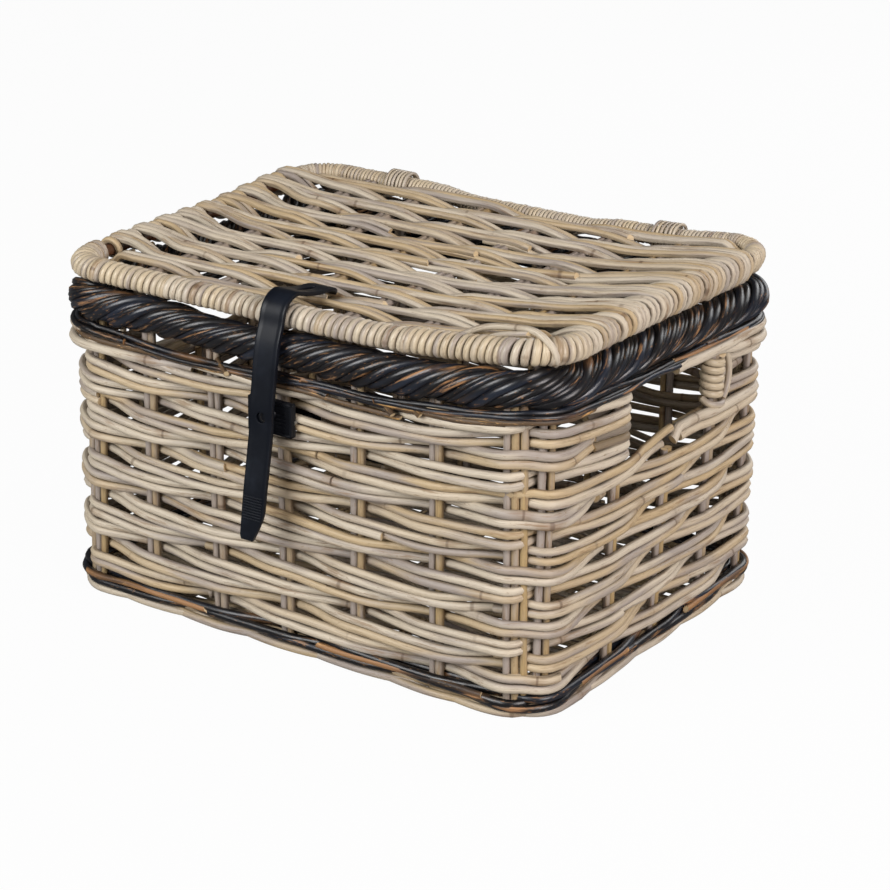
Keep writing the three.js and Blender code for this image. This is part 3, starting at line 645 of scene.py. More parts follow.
def moulded_finish(name, base, dust, dusty, pebble, dull):
    """Rubber or plastic with a fine grain and a little dust."""
    if name in bpy.data.materials:
        return bpy.data.materials[name]
    material, tree, shader = bare_material(name)
    skin = grouped(tree, "moulded_skin", moulded_group, {
        "Base": chosen(base), "Dust": chosen(dust), "Dust Amount": dusty, "Pebble": pebble})
    surfaced(tree, shader, skin["Color"], skin["Dull"], dull)
    shader.inputs["Specular IOR Level"].default_value = 0.22
    bumped(tree, shader, skin["Height"], 0.12, 0.2 * MM)
    return material


def rubber_finish():
    """The strap's blue-black rubber."""
    return moulded_finish("strap_rubber_finish", "rubber", "rubber_dust", 0.22, 1400.0, (0.3, 0.45))


def plastic_finish():
    """The closing plate's moulded plastic."""
    return moulded_finish("moulded_plastic_finish", "plastic", "plastic_dust", 0.3, 2200.0, (0.3, 0.46))


def steel_finish():
    """The zinc-plated steel of the screws."""
    name = "screw_steel_finish"
    if name in bpy.data.materials:
        return bpy.data.materials[name]
    material, tree, shader = bare_material(name)
    shader.inputs["Metallic"].default_value = 1.0
    brushed = noise(tree, add(tree, "TexCoord", {}).outputs["Object"], scale=700.0, detail=4.0)
    surfaced(tree, shader, blended(tree, brushed, chosen("steel"), chosen("steel_bright")), brushed,
             (0.25, 0.45))
    return material


# What a user can change

def a_length(name, description, millimetres):
    """A length that the user can change."""
    return FloatProperty(name=name, description=description, default=millimetres * MM, unit="LENGTH")


def a_count(name, description, number):
    """A number of rows or turns that the user can change."""
    return IntProperty(name=name, description=description, default=number)


def a_power(name, description, watts):
    """A lamp's power that the user can change."""
    return FloatProperty(name=name, description=description, default=watts, unit="POWER")


def an_angle(name, description, degrees):
    """An angle that the user can change."""
    return FloatProperty(name=name, description=description, default=math.radians(degrees), subtype="ANGLE")


def a_colour(name, description, *values):
    """A colour that the user can change."""
    return FloatVectorProperty(
        name=name, description=description, subtype="COLOR", size=3, min=0.0, max=1.0,
        default=tint(*values))


class BasketSizes(PropertyGroup):
    """Sizes of the rods and counts of the weave."""

    weaver_radius: a_length("Weaver Radius", "Radius of the rods of the walls", 3.45)
    stake_radius: a_length("Stake Radius", "Radius of the upright rods", 3.05)
    weave_rows: a_count("Weave Rows", "Rows of paired rods in a wall", 14)
    window: a_length("Window Squeeze", "How far rows close in over the stake that shows beside them", 0.9)
    strand_radius: a_length("Strand Radius", "Radius of the rods of the rim", 4.0)
    rim_strands: a_count("Rim Strands", "Strands side by side round the rim's section", 9)
    rim_turns: a_count("Rim Turns", "Turns of the plait on its way round the basket", 13)
    rim_thickness: a_length("Rim Thickness", "Thickness of the rim across the wall", 30)
    lid_rows: a_count("Lid Rows", "Rows of paired rods in the lid", 22)
    lid_rod_radius: a_length("Lid Rod Radius", "Radius of the lid's weavers", 3.05)
    lid_corner: a_length("Lid Corner", "Radius of the pole's corners", 31.5)
    cane_radius: a_length("Front Cane Radius", "Radius of the cane round the front border", 3.2)
    thin_cane_radius: a_length("Back Cane Radius", "Radius of the cane round the back border", 1.8)
    floor_rows: a_count("Floor Rows", "Rows of paired rods in the bottom", 24)
    strap_thickness: a_length("Strap Thickness", "Thickness of the rubber strap", 3)


class BasketColours(PropertyGroup):
    """Colours of the finishes."""

    pale: a_colour("Pale Rattan", "Most of the weave", 196, 184, 164)
    warm: a_colour("Warm Rattan", "Yellower rods of the weave", 184, 162, 126)
    grey: a_colour("Grey Rattan", "Weathered stretches", 158, 147, 138)
    stain: a_colour("Stain", "Brown blotches and fibres", 128, 98, 66)
    knot: a_colour("Knot", "Rings where leaves grew", 84, 60, 40)
    pith: a_colour("Pith", "Cut ends", 206, 182, 142)
    # Soiling and painted shade in the grooves between rods, and painted shade on the inner side of the
    # walls.
    grime: a_colour("Grime", "Dirt and painted shade between the rods", 60, 45, 33)
    stake: a_colour("Stakes", "Upright rods", 172, 147, 104)
    cane: a_colour("Cane", "The winding of the lid's border", 197, 181, 153)
    dark: a_colour("Dark Rattan", "Stained rods", 20, 19, 21)
    # A bluish tone in broad stretches over the dark rods, partly painted sheen.
    dark_blue: a_colour("Dark Rattan Sheen", "Bluish stretches of the stained rods, partly painted sheen", 31, 37, 49)
    # Soiling and painted shade in the grooves of the dark rods.
    dark_grime: a_colour("Dark Grime", "Dirt and painted shade between the stained rods", 6, 5, 5)
    worn: a_colour("Worn Rattan", "Where the dark stain has gone", 166, 122, 80)
    peeled: a_colour("Peeled Rattan", "Stained rods without their skin", 92, 72, 50)
    peeled_grey: a_colour("Peeled Rattan Grey", "Weathered stretches of the peeled rods", 52, 42, 35)
    # Soiling and painted shade in the grooves of the peeled rods.
    peeled_grime: a_colour("Peeled Rattan Grime", "Dirt and painted shade along the peeled rods", 14, 11, 9)
    fleck: a_colour("Flecks", "Bright wood that shows in the peeled rods", 206, 160, 98)
    pole: a_colour("Pole", "The lid's frame", 128, 76, 42)
    rubber: a_colour("Rubber", "The strap", 10, 14, 22)
    rubber_dust: a_colour("Rubber Dust", "Dust on the strap", 44, 50, 62)
    plastic: a_colour("Plastic", "The closing plate", 17, 19, 24)
    plastic_dust: a_colour("Plastic Dust", "Dust on the closing plate", 44, 47, 54)
    steel: a_colour("Steel", "The screws", 150, 152, 156)
    steel_bright: a_colour("Bright Steel", "Brighter stretches of the screws", 196, 198, 200)
    floor: a_colour("Floor", "The stage's floor", 190, 190, 190)


class BasketStage(PropertyGroup):
    """Lamps and camera of the stage."""

    key_power: a_power("Key Lamp", "Power of the large lamp at the front left", 50.5)
    fill_power: a_power("Fill Lamp", "Power of the lamp at the right", 42.5)
    back_power: a_power("Back Lamp", "Power of the soft lamp behind the basket", 22.0)
    sky: FloatProperty(name="Sky", description="Strength of the even light from all sides", default=0.07)
    camera_place: FloatVectorProperty(
        name="Camera Place", description="Where the camera stands", size=3, subtype="TRANSLATION",
        default=(1.0891, -1.6107, 0.8732))
    camera_aim: FloatVectorProperty(
        name="Camera Direction", description="Which way the camera looks", size=3, subtype="DIRECTION",
        default=(-0.5134, 0.7775, -0.3631))
    camera_roll: an_angle("Camera Roll", "How far the camera leans", 0.96)
    camera_angle: an_angle("Field of View", "The camera's angle of view", 19.35)


# Walls

def wall_course():
    """The line through the stakes."""
    return Course(STAKE_LINE_X, STAKE_LINE_Y, STAKE_CORNER)


def stake_stations(course, height=0.1):
    """The places of all stakes along the wall at a height."""
    stations = np.array([course.station(middle(name)) for name in STAKE_NAMES])
    stations[0] -= course.length if stations[0] > course.length / 2 else 0.0
    low, high = STAKE_LEANS.T
    return stations + low + (high - low) * (height - LEAN_LOW) / (LEAN_HIGH - LEAN_LOW)


def stake_number(place):
    """A stake's number, counted counterclockwise from the front left."""
    return STAKE_NAMES.index(f"stake_{place}")


CORNER_GAPS = [stake_number(place) for place in ("front_7", "right_5", "back_1", "left_1")]


class WallWeaver:
    """Works out where a rod of a row lies: its reach out of the stakes' line and its height."""

    def __init__(self, sizes, row):
        self.course = wall_course()
        self.pitch = (WEAVE_HIGH - WEAVE_LOW) / sizes.weave_rows
        self.middle = WEAVE_LOW + self.pitch * (row + 0.5)
        self.stations = stake_stations(self.course, self.middle)
        self.reach = sizes.stake_radius + sizes.weaver_radius - 0.2 * MM
        self.row = row
        numbers = np.arange(1, len(self.stations) + 1)
        self.sides = np.where((row - numbers) % 3 == 0, -1.0, 1.0)
        above = np.where((row + 1 - numbers) % 3 == 0, 1.0, 0.0)
        below_it = np.where((row - 1 - numbers) % 3 == 0, -1.0, 0.0)
        self.squeeze = (above + below_it) * sizes.window

    def out(self, s, sides=None):
        """Reach outward, with the rod drawn straight across the basket's corners."""
        used = self.sides if sides is None else sides
        value, between_stakes, gap = crossing(s, self.stations, used, self.course.length)
        sag = np.where(np.isin(gap, CORNER_GAPS), 3.4 * MM, 0.0)
        bulge = np.where(value > 0.999, 0.5 * MM, 0.0)
        return value * self.reach + between_stakes * (bulge - sag)

    def height(self, s):
        """Height of the row. All rows waver alike, and lie higher at the corners."""
        shift, _, _ = crossing(s, self.stations, self.squeeze, self.course.length)
        half = self.course.length / 2
        turn = math.pi * s / half
        waver = 0.7 * np.sin(3 * turn + 0.35 * self.row)
        waver = waver + 0.6 * np.sin(8 * turn + 1.1 + 0.23 * self.row)
        corners = (self.course.starts[[1, 3, 5, 7]] + self.course.starts[[2, 4, 6, 8]]) / 2
        away = np.abs(np.mod(s[:, None] - corners + half, 2 * half) - half).min(axis=1)
        raised = 5.0 * hump(away, 0.0, 55 * MM) - 1.5
        return self.middle + shift + (waver + raised * ramp(self.middle, 0.0, 60 * MM)) * MM

    def run(self, bundle, rise, first, last):
        """A rod from behind one stake to behind another: where it goes, how far out and how high."""
        begin, end = self.stations[first], self.stations[last]
        if end < begin:
            end += self.course.length
        s = np.arange(begin - 12 * MM, end + 10 * MM, LINE_STEP)
        out = self.out(s) + wander(bundle.rng, s, 0.16, 0.35 * MM)
        height = self.height(s) + rise + wander(bundle.rng, s, 0.17, 0.7 * MM)
        return s, out, height


def spliced_rod(bundle, line, radius, at, out, slack=22 * MM, step=5 * MM, beside=(0, 0, 1)):
    """Two rods that overlap at a place along the line. The first one's cut end lies on the outer side."""
    away = walked(line) - at
    first, second = away < slack, away > -slack
    over = ramp(away[first], -1.5 * slack, 2 * slack)[:, None]
    under = (1 - ramp(away[second], slack, 2 * slack))[:, None]
    bundle.rod(line[first] + out[first] * over * 1.3 * MM, radius, slant=0.9, step=step, beside=beside)
    thinner = radius * bundle.rng.uniform(0.85, 1.0)
    bundle.rod(line[second] - out[second] * under * 2.2 * MM, thinner, step=step, beside=beside)


def closed_weaver(bundle, plan, rise, radius):
    """A rod once round the basket, whose ends lie inside, behind a stake."""
    rng = bundle.rng
    start = plan.stations[rng.choice(np.flatnonzero(plan.sides < 0))]
    s = np.arange(start - 16 * MM, start + plan.course.length + 18 * MM, LINE_STEP)
    out = plan.out(s) + wander(rng, s, 0.16, 0.4 * MM) - 6.4 * MM * ramp(s, s[-1] - 60 * MM, 50 * MM)
    height = plan.height(s) + rise + wander(rng, s, 0.17, 0.75 * MM)
    line = plan.course.line(s, out, height)
    outward = plan.course.line(s, out + 1.0, height) - line
    spliced_rod(bundle, line, radius, rng.uniform(0.2, 0.8) * (s[-1] - s[0]), outward)


def open_weaver(bundle, plan, rise, radius, first, last):
    """A rod between the two hand openings. It starts behind a wrapped post and turns round a stake."""
    rng = bundle.rng
    begin, end = plan.stations[first], plan.stations[last]
    if end < begin:
        begin -= plan.course.length
    sides = plan.sides.copy()
    sides[first] = -1.0
    s = np.arange(begin + 2 * MM, end, LINE_STEP)
    out = plan.out(s, sides) + wander(rng, s, 0.16, 0.3 * MM)
    out = out - 3.2 * MM * (1 - ramp(s, begin, 30 * MM))
    height = plan.height(s) + rise + wander(rng, s, 0.17, 0.6 * MM)
    side = sides[last]
    turn = np.linspace(0.0, math.pi, 12)
    back = np.arange(2.5, 34, 2.5) * MM
    back_out = -side * plan.reach - (0.05 if side > 0 else 0.22) * back
    s = np.concatenate([s, end + 9.6 * MM * np.sin(turn), end - back])
    out = np.concatenate([out, side * plan.reach * np.cos(turn), back_out])
    height = np.concatenate([height, np.full(len(turn) + len(back), height[-1])])
    bundle.rod(plan.course.line(s, out, height), radius, step=3.5 * MM)


def sill_weaver(bundle, plan, rise, radius, first, last):
    """A rod that ends under a hand opening, where the upper one of the pair climbs to the sill."""
    s, out, height = plan.run(bundle, rise, first, last)
    upper = rise > 0
    if upper:
        climb = ramp(s, s[-1] - 62 * MM, 62 * MM)
        height = height + 7.5 * MM * climb
        out = np.maximum(out, 1.5 * MM * climb)
    line = plan.course.line(s[:-3], out[:-3], height[:-3])
    bundle.rod(line, radius, tone=0.95 if upper else None)


class BASKET_OT_walls(Operator):
    """Weaves the walls: rows of paired rods, in front of two stakes and behind one"""

    bl_idname = "basket.walls"
    bl_label = "Woven Walls"

    def execute(self, context):
        sizes = context.scene.basket_sizes
        finish = wall_finish()
        walls = [f"wall_{side}" for side in ("front", "back", "left", "right")]
        walls += [f"wall_corner_{y}_{x}" for y in ("front", "back") for x in ("left", "right")]
        for row in range(sizes.weave_rows + 1):
            plan = WallWeaver(sizes, row)
            bundle = Bundle(seed=100 + row)
            rises = (-plan.pitch / 4, plan.pitch / 4)
            for rise in rises[:1] if row == sizes.weave_rows else rises:
                radius = sizes.weaver_radius * bundle.rng.uniform(0.93, 1.06)
                if plan.middle > SILL_HIGH:
                    make, runs = open_weaver, (("left_2", "right_2"), ("right_4", "left_4"))
                elif plan.middle > SILL_LOW:
                    make, runs = sill_weaver, (("front_1", "right_3"), ("back_7", "left_3"))
                else:
                    closed_weaver(bundle, plan, rise, radius)
                    continue
                for first, last in runs:
                    make(bundle, plan, rise, radius, stake_number(first), stake_number(last))
            bundle.piece(f"weave_row_{row + 1:02d}", finish, replaced=walls)
        filler = Bundle(seed=130)
        s, out, height = plan.run(filler, plan.pitch / 4, stake_number("front_5"), stake_number("right_1"))
        filler.rod(plan.course.line(s[30:], out[30:], height[30:]), sizes.weaver_radius * 0.95, slant=0.9)
        filler.piece("corner_filler_rod", finish)
        return {"FINISHED"}


class BASKET_OT_stakes(Operator):
    """Sets the upright rods, in pairs, and three together beside the corners"""

    bl_idname = "basket.stakes"
    bl_label = "Stakes"

    def execute(self, context):
        radius = context.scene.basket_sizes.stake_radius
        course = wall_course()
        third = {"stake_front_7": [3], "stake_back_1": [3], "stake_front_1": [-3], "stake_back_7": [-3]}
        for number, name in enumerate(STAKE_NAMES):
            low, high = heights(name)
            top = high if high < WEAVE_HIGH else RIM_LOW[2] + 14 * MM
            bundle = Bundle(seed=200 + number)
            rng = bundle.rng
            for place in [-1, 1] + third.get(name, []):
                z = np.arange(low - 3 * MM, top, 4 * MM)
                lean = rng.uniform(-1, 1) * 0.6 * MM
                foot = stake_stations(course, low)[number] + place * radius * 1.02
                head = stake_stations(course, top)[number] + place * radius * 1.02
                s = foot + (head - foot + lean) * (z - low) / (top - low)
                s = s + wander(rng, z, 0.18, 0.35 * MM)
                out = wander(rng, z, 0.15, 0.2 * MM)
                tone = rng.uniform(0.0, 0.45) if place == -1 else rng.uniform(0.5, 1.0)
                bundle.rod(course.line(s, out, z), radius * rng.uniform(0.93, 1.06), tone,
                           beside=course.forward(s))
            bundle.piece(name.replace("stake", "stake_rods"), stake_finish(), slot="stake_rattan",
                         replaced=[name])
        return {"FINISHED"}


# Bands and base

def loose_rods(bundle, course, levels, out, radius, lengths):
    """Rods laid end to end round the basket, with ends that show here and there."""
    rng = bundle.rng
    for level in levels:
        s = rng.uniform(0, 0.3)
        stop = s + course.length
        while s < stop:
            length = rng.uniform(*lengths)
            places = np.arange(s, min(s + length, stop) + 25 * MM, 3 * MM)
            reach = out + wander(rng, places, 0.25, 0.6 * MM)
            reach = reach + 1.5 * MM * ramp(places, places[-1] - 35 * MM, 35 * MM)
            lift = rng.uniform(-2.5, 1.5) * MM * ramp(places, places[-1] - 40 * MM, 40 * MM)
            sunk = 5.5 * MM * hump(np.mod(places, course.length), 0.1, 0.09)
            height = level + wander(rng, places, 0.26, 1.9 * MM) + lift - sunk
            bundle.rod(course.line(places, reach, height), radius * rng.uniform(0.72, 1.12), slant=0.8)
            s += length


def upper_band(course, reach):
    """The dark rods above the weave."""
    low, high = heights("upper_band")
    rods = Bundle(seed=300)
    for levels, out, radius, lengths in (
            ((high - 6.5 * MM, high - 1.5 * MM), reach, 3.1, (0.3, 0.7)),
            ((high - 4 * MM,), reach + 3.2 * MM, 2.2, (0.2, 0.45)),
            ((low + 3 * MM, low + 8 * MM), -reach, 3.2, (0.4, 0.9))):
        loose_rods(rods, course, levels, out, radius * MM, lengths)
    rods.piece("upper_dark_rods", dark_finish(), slot="dark_rattan", replaced=["upper_band"])


def peeled_rods(course, reach):
    """Rods of both bands that have lost their skin.

    A rod is given by where it begins along the wall, its length, its height and radius in millimetres,
    and its tone. A stub drops from its beginning, and a rod of the lower band is level.
    """
    low = heights("upper_band")[0]
    rods = Bundle(seed=305)
    rng = rods.rng
    for begin, length, level, radius, tone in (
            (-0.02, 0.17, 4.8, 2.6, 0.1), (0.12, 0.17, 4.4, 2.2, 0.1), (0.245, 0.13, 9.4, 2.6, 0.1),
            (0.33, 0.12, 8.8, 2.1, 0.1), (0.56, 0.13, 12.5, 2.4, 0.7), (0.8, 0.2, 8.5, 2.4, 0.1),
            (1.02, 0.24, 9.0, 2.3, 0.1), (1.32, 0.14, 8.4, 2.4, 0.1)):
        s = np.arange(begin, begin + length, 3 * MM)
        t = np.linspace(-1, 1, len(s))
        out = reach + (2.6 - 1.6 * t ** 2) * MM
        height = low + level * MM + wander(rng, s, 0.2, 1.3 * MM) - 1.5 * MM * t
        rods.rod(course.line(s, out, height), radius * MM, tone=tone, slant=1.2, flat=0.8)
    stub = 17 * MM
    for begin, drop in ((0.118, 6.0), (0.268, 7.0), (0.292, 3.5), (0.7, 5.0), (1.1, 6.0)):
        ahead = np.arange(0, stub, 2 * MM)
        height = low + 11 * MM - drop * MM * ahead / stub
        rods.rod(course.line(begin + ahead, reach - 3 * MM + 0.55 * ahead, height), 2.4 * MM, tone=0.3,
                 slant=1.0, knots=False)
    low_reach = reach + 1.6 * MM
    foot = heights("low_band")[1] - 4.5 * MM
    for begin, length in (
            (-0.015, 0.125), (0.215, 0.15), (0.44, 0.07), (0.6, 0.16), (0.9, 0.2), (1.25, 0.15)):
        s = np.arange(begin, begin + length, 3 * MM)
        height = foot + wander(rng, s, 0.2, 0.8 * MM)
        line = course.line(s, low_reach + wander(rng, s, 0.15, 0.5 * MM), height)
        rods.rod(line, 2.5 * MM, tone=0.7, slant=1.2)
    rods.piece("peeled_rods", peeled_finish(), slot="dark_rattan")


def low_band(course, reach):
    """The dark rods below the weave. Three are woven, and one lies loose inside."""
    low, high = heights("low_band")
    rods = Bundle(seed=310)
    stations = stake_stations(course)
    numbers = np.arange(1, len(stations) + 1)
    for turn, level in enumerate((high - 3 * MM, high - 6.5 * MM, high - 9.5 * MM)):
        sides = np.where((turn + 1 - numbers) % 3 == 0, -0.6, 1.0)
        s = np.arange(0.1 * turn, course.length + 0.1 * turn + 20 * MM, LINE_STEP)
        value, _, _ = crossing(s, stations, sides, course.length)
        height = level + wander(rods.rng, s, 0.3, 0.8 * MM)
        rods.rod(course.line(s, value * reach, height), 3.3 * MM * rods.rng.uniform(0.9, 1.05))
    loose_rods(rods, course, (low + 3 * MM,), -reach, 3.2 * MM, (0.4, 0.9))
    rods.piece("lower_dark_rods", dark_finish(), slot="dark_rattan", replaced=["low_band"])


class BASKET_OT_bands(Operator):
    """Lays the dark rods above and below the weave"""

    bl_idname = "basket.bands"
    bl_label = "Dark Bands"

    def execute(self, context):
        course = wall_course()
        reach = context.scene.basket_sizes.stake_radius + 3.3 * MM
        for make in (upper_band, peeled_rods, low_band):
            make(course, reach)
        return {"FINISHED"}


def foot_rods(course):
    """The foot border: each rod bows out under the wall, from behind one stake to the next but one."""
    stations = stake_stations(course)
    foot = Bundle(seed=400)
    rng = foot.rng
    radius = 3.4 * MM
    for first in range(len(stations)):
        begin, end = stations[first], stations[(first + 2) % len(stations)]
        end += course.length if end < begin else 0.0
        s = np.arange(begin - 14 * MM, end + 14 * MM, 3 * MM)
        t = (s - s[0]) / (s[-1] - s[0])
        bow = np.sin(math.pi * t) ** 0.7
        out = -7 * MM + 12.5 * MM * bow + wander(rng, s, 0.1, 0.4 * MM)
        height = radius + 0.2 * MM + 6.5 * MM * (1 - bow) * (0.4 + 0.6 * t)
        foot.rod(course.line(s, out, height), radius * rng.uniform(0.88, 1.0))
    s = np.arange(0, course.length + 20 * MM, 4 * MM)
    for out, height in ((-6, 4), (-5, 10), (1, 9)):
        waver = wander(rng, s, 0.2, 0.3 * MM)
        foot.rod(course.line(s, out * MM + waver, height * MM), radius * 0.95)
    foot.piece("foot_rods", natural_finish(), replaced=["base_frame"])


def bottom_weave(rows):
    """The flat bottom: seven pairs of sticks with pairs of rods woven through them."""
    bottom = Bundle(seed=410)
    rng = bottom.rng
    reach_x, reach_y, _ = FLOOR_HIGH
    centre = (FLOOR_LOW[2] + FLOOR_HIGH[2]) / 2
    sticks = np.linspace(-reach_x + 26 * MM, reach_x - 26 * MM, 7)
    y = np.linspace(-reach_y - 6 * MM, reach_y + 6 * MM, 60)
    for x in sticks:
        for side in (-1, 1):
            drift = wander(rng, y, 0.2, 0.3 * MM)
            bottom.rod(columns(x + side * 2.7 * MM + drift, y, centre), 2.6 * MM, tone=1.0)
    pitch = 2 * reach_y / rows
    x = np.arange(-reach_x - 7 * MM, reach_x + 7 * MM, 3 * MM)
    for row in range(rows):
        sides = np.where((row - np.arange(len(sticks))) % 2 == 0, 1.0, -1.0)
        value, _, _ = crossing(x, sticks, sides)
        for rise in (-pitch / 4, pitch / 4):
            line_y = -reach_y + pitch * (row + 0.5) + rise + wander(rng, x, 0.2, 0.4 * MM)
            bottom.rod(columns(x, line_y, centre + value * 2.7 * MM), 3.05 * MM)
    bottom.piece("bottom_weave", natural_finish(), replaced=["base_panel"])


class BASKET_OT_base(Operator):
    """Makes the foot border, whose rods bow out under the walls, and the flat woven bottom"""

    bl_idname = "basket.base"
    bl_label = "Base"

    def execute(self, context):
        foot_rods(wall_course())
        bottom_weave(context.scene.basket_sizes.floor_rows)
        return {"FINISHED"}


# Hand openings

def sill_rods(sizes, course, side, seed, centre, post):
    """Two thick rods under an opening that run on into the weave, and a third one behind them."""
    middle_row = ((SILL_LOW + SILL_HIGH) / 2 - WEAVE_LOW) / (WEAVE_HIGH - WEAVE_LOW) * sizes.weave_rows
    plan = WallWeaver(sizes, int(middle_row))
    sill = Bundle(seed)
    thick = 4.1 * MM
    for number, level in enumerate((3.6 * MM, 11.4 * MM)):
        s = np.arange(centre + (4 + 9 * number) * MM, post + 105 * MM, LINE_STEP)
        out = np.maximum(plan.out(s), 0.4 * plan.reach) + wander(sill.rng, s, 0.1, 0.3 * MM)
        blend = ramp(s, post + 20 * MM, 60 * MM)
        woven = plan.height(s) + (0.25 - 0.5 * number) * plan.pitch
        height = (SILL_HIGH - level) * (1 - blend) + woven * blend
        if number == 0:
            height = height - 8 * MM * (1 - ramp(s, s[0], 8 * MM))
        sill.rod(course.line(s, out, height), thick * (1 - 0.06 * number), tone=0.3 + 0.2 * number,
                 step=3 * MM)
    s = np.arange(centre + 20 * MM, post + 30 * MM, 3 * MM)
    sill.rod(course.line(s, -4.2 * MM, SILL_HIGH - 5.5 * MM), thick * 0.85, tone=0.8)
    sill.piece(f"sill_rods_{side}", natural_finish(), replaced=[f"handle_sill_{side}"])


def wound_post(course, side, seed, post):
    """Cane wound round the stakes at one end of an opening, with a loop below and a rod along it."""
    low, high = SILL_HIGH, heights(f"handle_wrap_{side}")[1]
    wrap = Bundle(seed, sides=10)
    rng = wrap.rng
    cane = 3.1 * MM
    pitch = 2.05 * cane
    angle = np.arange(0, (high - low - 6 * MM) / pitch * 2 * math.pi, 0.26)
    z = low + 6 * MM + pitch * angle / (2 * math.pi) + wander(rng, angle, 9.0, 0.3 * MM)
    s = post + (8.4 * MM + wander(rng, angle, 7.0, 0.3 * MM)) * np.cos(angle)
    wrap.rod(course.line(s, 6.2 * MM * np.sin(angle), z), cane, tone=0.2, step=3 * MM)
    angle = np.linspace(-0.4, 3.6, 22)
    z = low + 5 * MM - 4.5 * MM * np.sin((angle + 0.4) / 4.0 * math.pi)
    s = post - 10.0 * MM * np.cos(angle) - 2 * MM
    wrap.rod(course.line(s, 7.8 * MM * np.sin(angle) + 1 * MM, z), cane * 0.95, tone=0.4, step=3 * MM)
    t = np.linspace(0, 1, 24)
    s = post + (4 + 11.5 * np.sin(math.pi * t) ** 0.6) * MM
    line = course.line(s, 7.5 * MM - 3 * MM * t, low + 4 * MM + (high - low + 4 * MM) * t)
    wrap.rod(line, 2.5 * MM, tone=0.6)
    wrap.piece(f"wound_post_{side}", cane_finish(), replaced=[f"handle_wrap_{side}"])


def crown_rods(course, side, seed, centre, post):
    """Two thick rods above an opening, between the weave and the rim. Their reach is in millimetres."""
    crown = Bundle(seed)
    s = np.arange(centre - 8 * MM, post + 120 * MM, 3 * MM)
    out = 10.8 - 2.5 * ramp(s, post, 40 * MM) - 2.5 * (1 - ramp(s, s[0], 25 * MM))
    out = out - 7 * ramp(s, post + 70 * MM, 45 * MM)
    height = WEAVE_HIGH + 9.5 * MM - 1.5 * MM * (1 - ramp(s, s[0], 14 * MM))
    crown.rod(course.line(s, out * MM, height), 4.3 * MM, tone=0.3, slant=0.15)
    s = np.arange(post - 4 * MM, post + 200 * MM, 3 * MM)
    out = 3 + 6.5 * ramp(s, s[0], 22 * MM) - 8 * ramp(s, post + 150 * MM, 50 * MM)
    height = WEAVE_HIGH + 4 * MM - 5 * MM * ramp(s, s[0], 80 * MM)
    crown.rod(course.line(s, out * MM, height), 4.0 * MM, tone=0.2)
    crown.piece(f"crown_rods_{side}", natural_finish())


class BASKET_OT_hand_openings(Operator):
    """Lays the sills and winds the posts of the two hand openings"""

    bl_idname = "basket.hand_openings"
    bl_label = "Hand Openings"

    def execute(self, context):
        sizes = context.scene.basket_sizes
        course = wall_course()
        for side, post_stake, turn in (("right", "right_4", 1), ("left", "left_2", -1)):
            post = stake_stations(course, (SILL_HIGH + WEAVE_HIGH) / 2)[stake_number(post_stake)]
            centre = stake_stations(course, SILL_HIGH)[stake_number(f"{side}_3")]
            sill_rods(sizes, course, side, 500 + turn, centre, post)
            wound_post(course, side, 510 + turn, post)
            crown_rods(course, side, 520 + turn, centre, post)
        return {"FINISHED"}


# Rim

def rim_strand(plait, course, sizes, number):
    """One strand of the plait, or two thinner ones side by side. It climbs outside and goes down inside."""
    rng = plait.rng
    half = sizes.rim_thickness / 2
    centre = (RIM_LOW[2] + RIM_HIGH[2]) / 2
    tall = (RIM_HIGH[2] - RIM_LOW[2]) / 2 - sizes.strand_radius
    wide = half - sizes.strand_radius
    pitch = course.length / sizes.rim_turns
    outside_low = -115 + rng.uniform(-14, 14)
    inside_low = 232 + rng.uniform(-20, 20)
    angle = np.radians(np.arange(outside_low, inside_low, 6.0))
    s = pitch * (angle / (2 * math.pi) + (number + rng.uniform(-0.1, 0.1)) / sizes.rim_strands)
    raised = (0.8 if number % 2 == 1 else -0.5) * MM + rng.uniform(-0.5, 0.5) * MM
    tuck = ramp(angle, angle[0], 0.5) * ramp(-angle, -angle[-1], 0.5)
    lift = raised + (tuck - 1) * 4 * MM + wander(rng, s, 0.1, 0.35 * MM)
    dip = 3.5 * MM * hump(s, 0.13, 0.05)
    split = rng.uniform() < 0.35
    for half_strand in ((-1, 1) if split else (0,)):
        out = (wide + lift - 0.5 * MM * abs(half_strand)) * np.cos(angle)
        height = centre + (tall + lift - dip * (np.sin(angle) > 0)) * np.sin(angle)
        radius = sizes.strand_radius * (rng.uniform(0.6, 0.72) if split else rng.uniform(0.88, 1.08))
        places = s + half_strand * 3.3 * MM
        plait.rod(course.line(places, out, height), radius, slant=0.7, step=4 * MM,
                  beside=course.forward(places))


class BASKET_OT_rim(Operator):
    """Plaits the rim: dark rods that climb its outer face, turn over it and go down inside"""

    bl_idname = "basket.rim"
    bl_label = "Plaited Rim"

    def execute(self, context):
        sizes = context.scene.basket_sizes
        half = sizes.rim_thickness / 2
        course = Course(RIM_HIGH[0] - half - 1.3 * MM, RIM_HIGH[1] - half - 0.3 * MM, 33 * MM)
        plait = Bundle(seed=600)
        for number in range(sizes.rim_turns * sizes.rim_strands):
            rim_strand(plait, course, sizes, number)
        centre = (RIM_LOW[2] + RIM_HIGH[2]) / 2
        s = np.arange(0, course.length + 20 * MM, 6 * MM)
        for out, up in ((0, 5), (0, -5), (5, 2), (-5, 2), (5, -3), (-5, -3), (0, 0)):
            plait.rod(course.line(s, out * MM, centre + up * MM), 4.5 * MM, tone=0.5, knots=False)
        plait.piece("plaited_rim", dark_finish(), slot="dark_rattan", replaced=["rim"])
        return {"FINISHED"}


# Lid

def lid_course(sizes):
    """The line of the lid's pole."""
    return Course(POLE_X, POLE_Y, sizes.lid_corner)


def winding(course, places, reach, turned_by):
    """A line wound round the lid's border at these places. Its turns begin under the inner side."""
    angle = turned_by - 2.0
    return course.line(places, reach * np.cos(angle), LID_Z + reach * np.sin(angle))


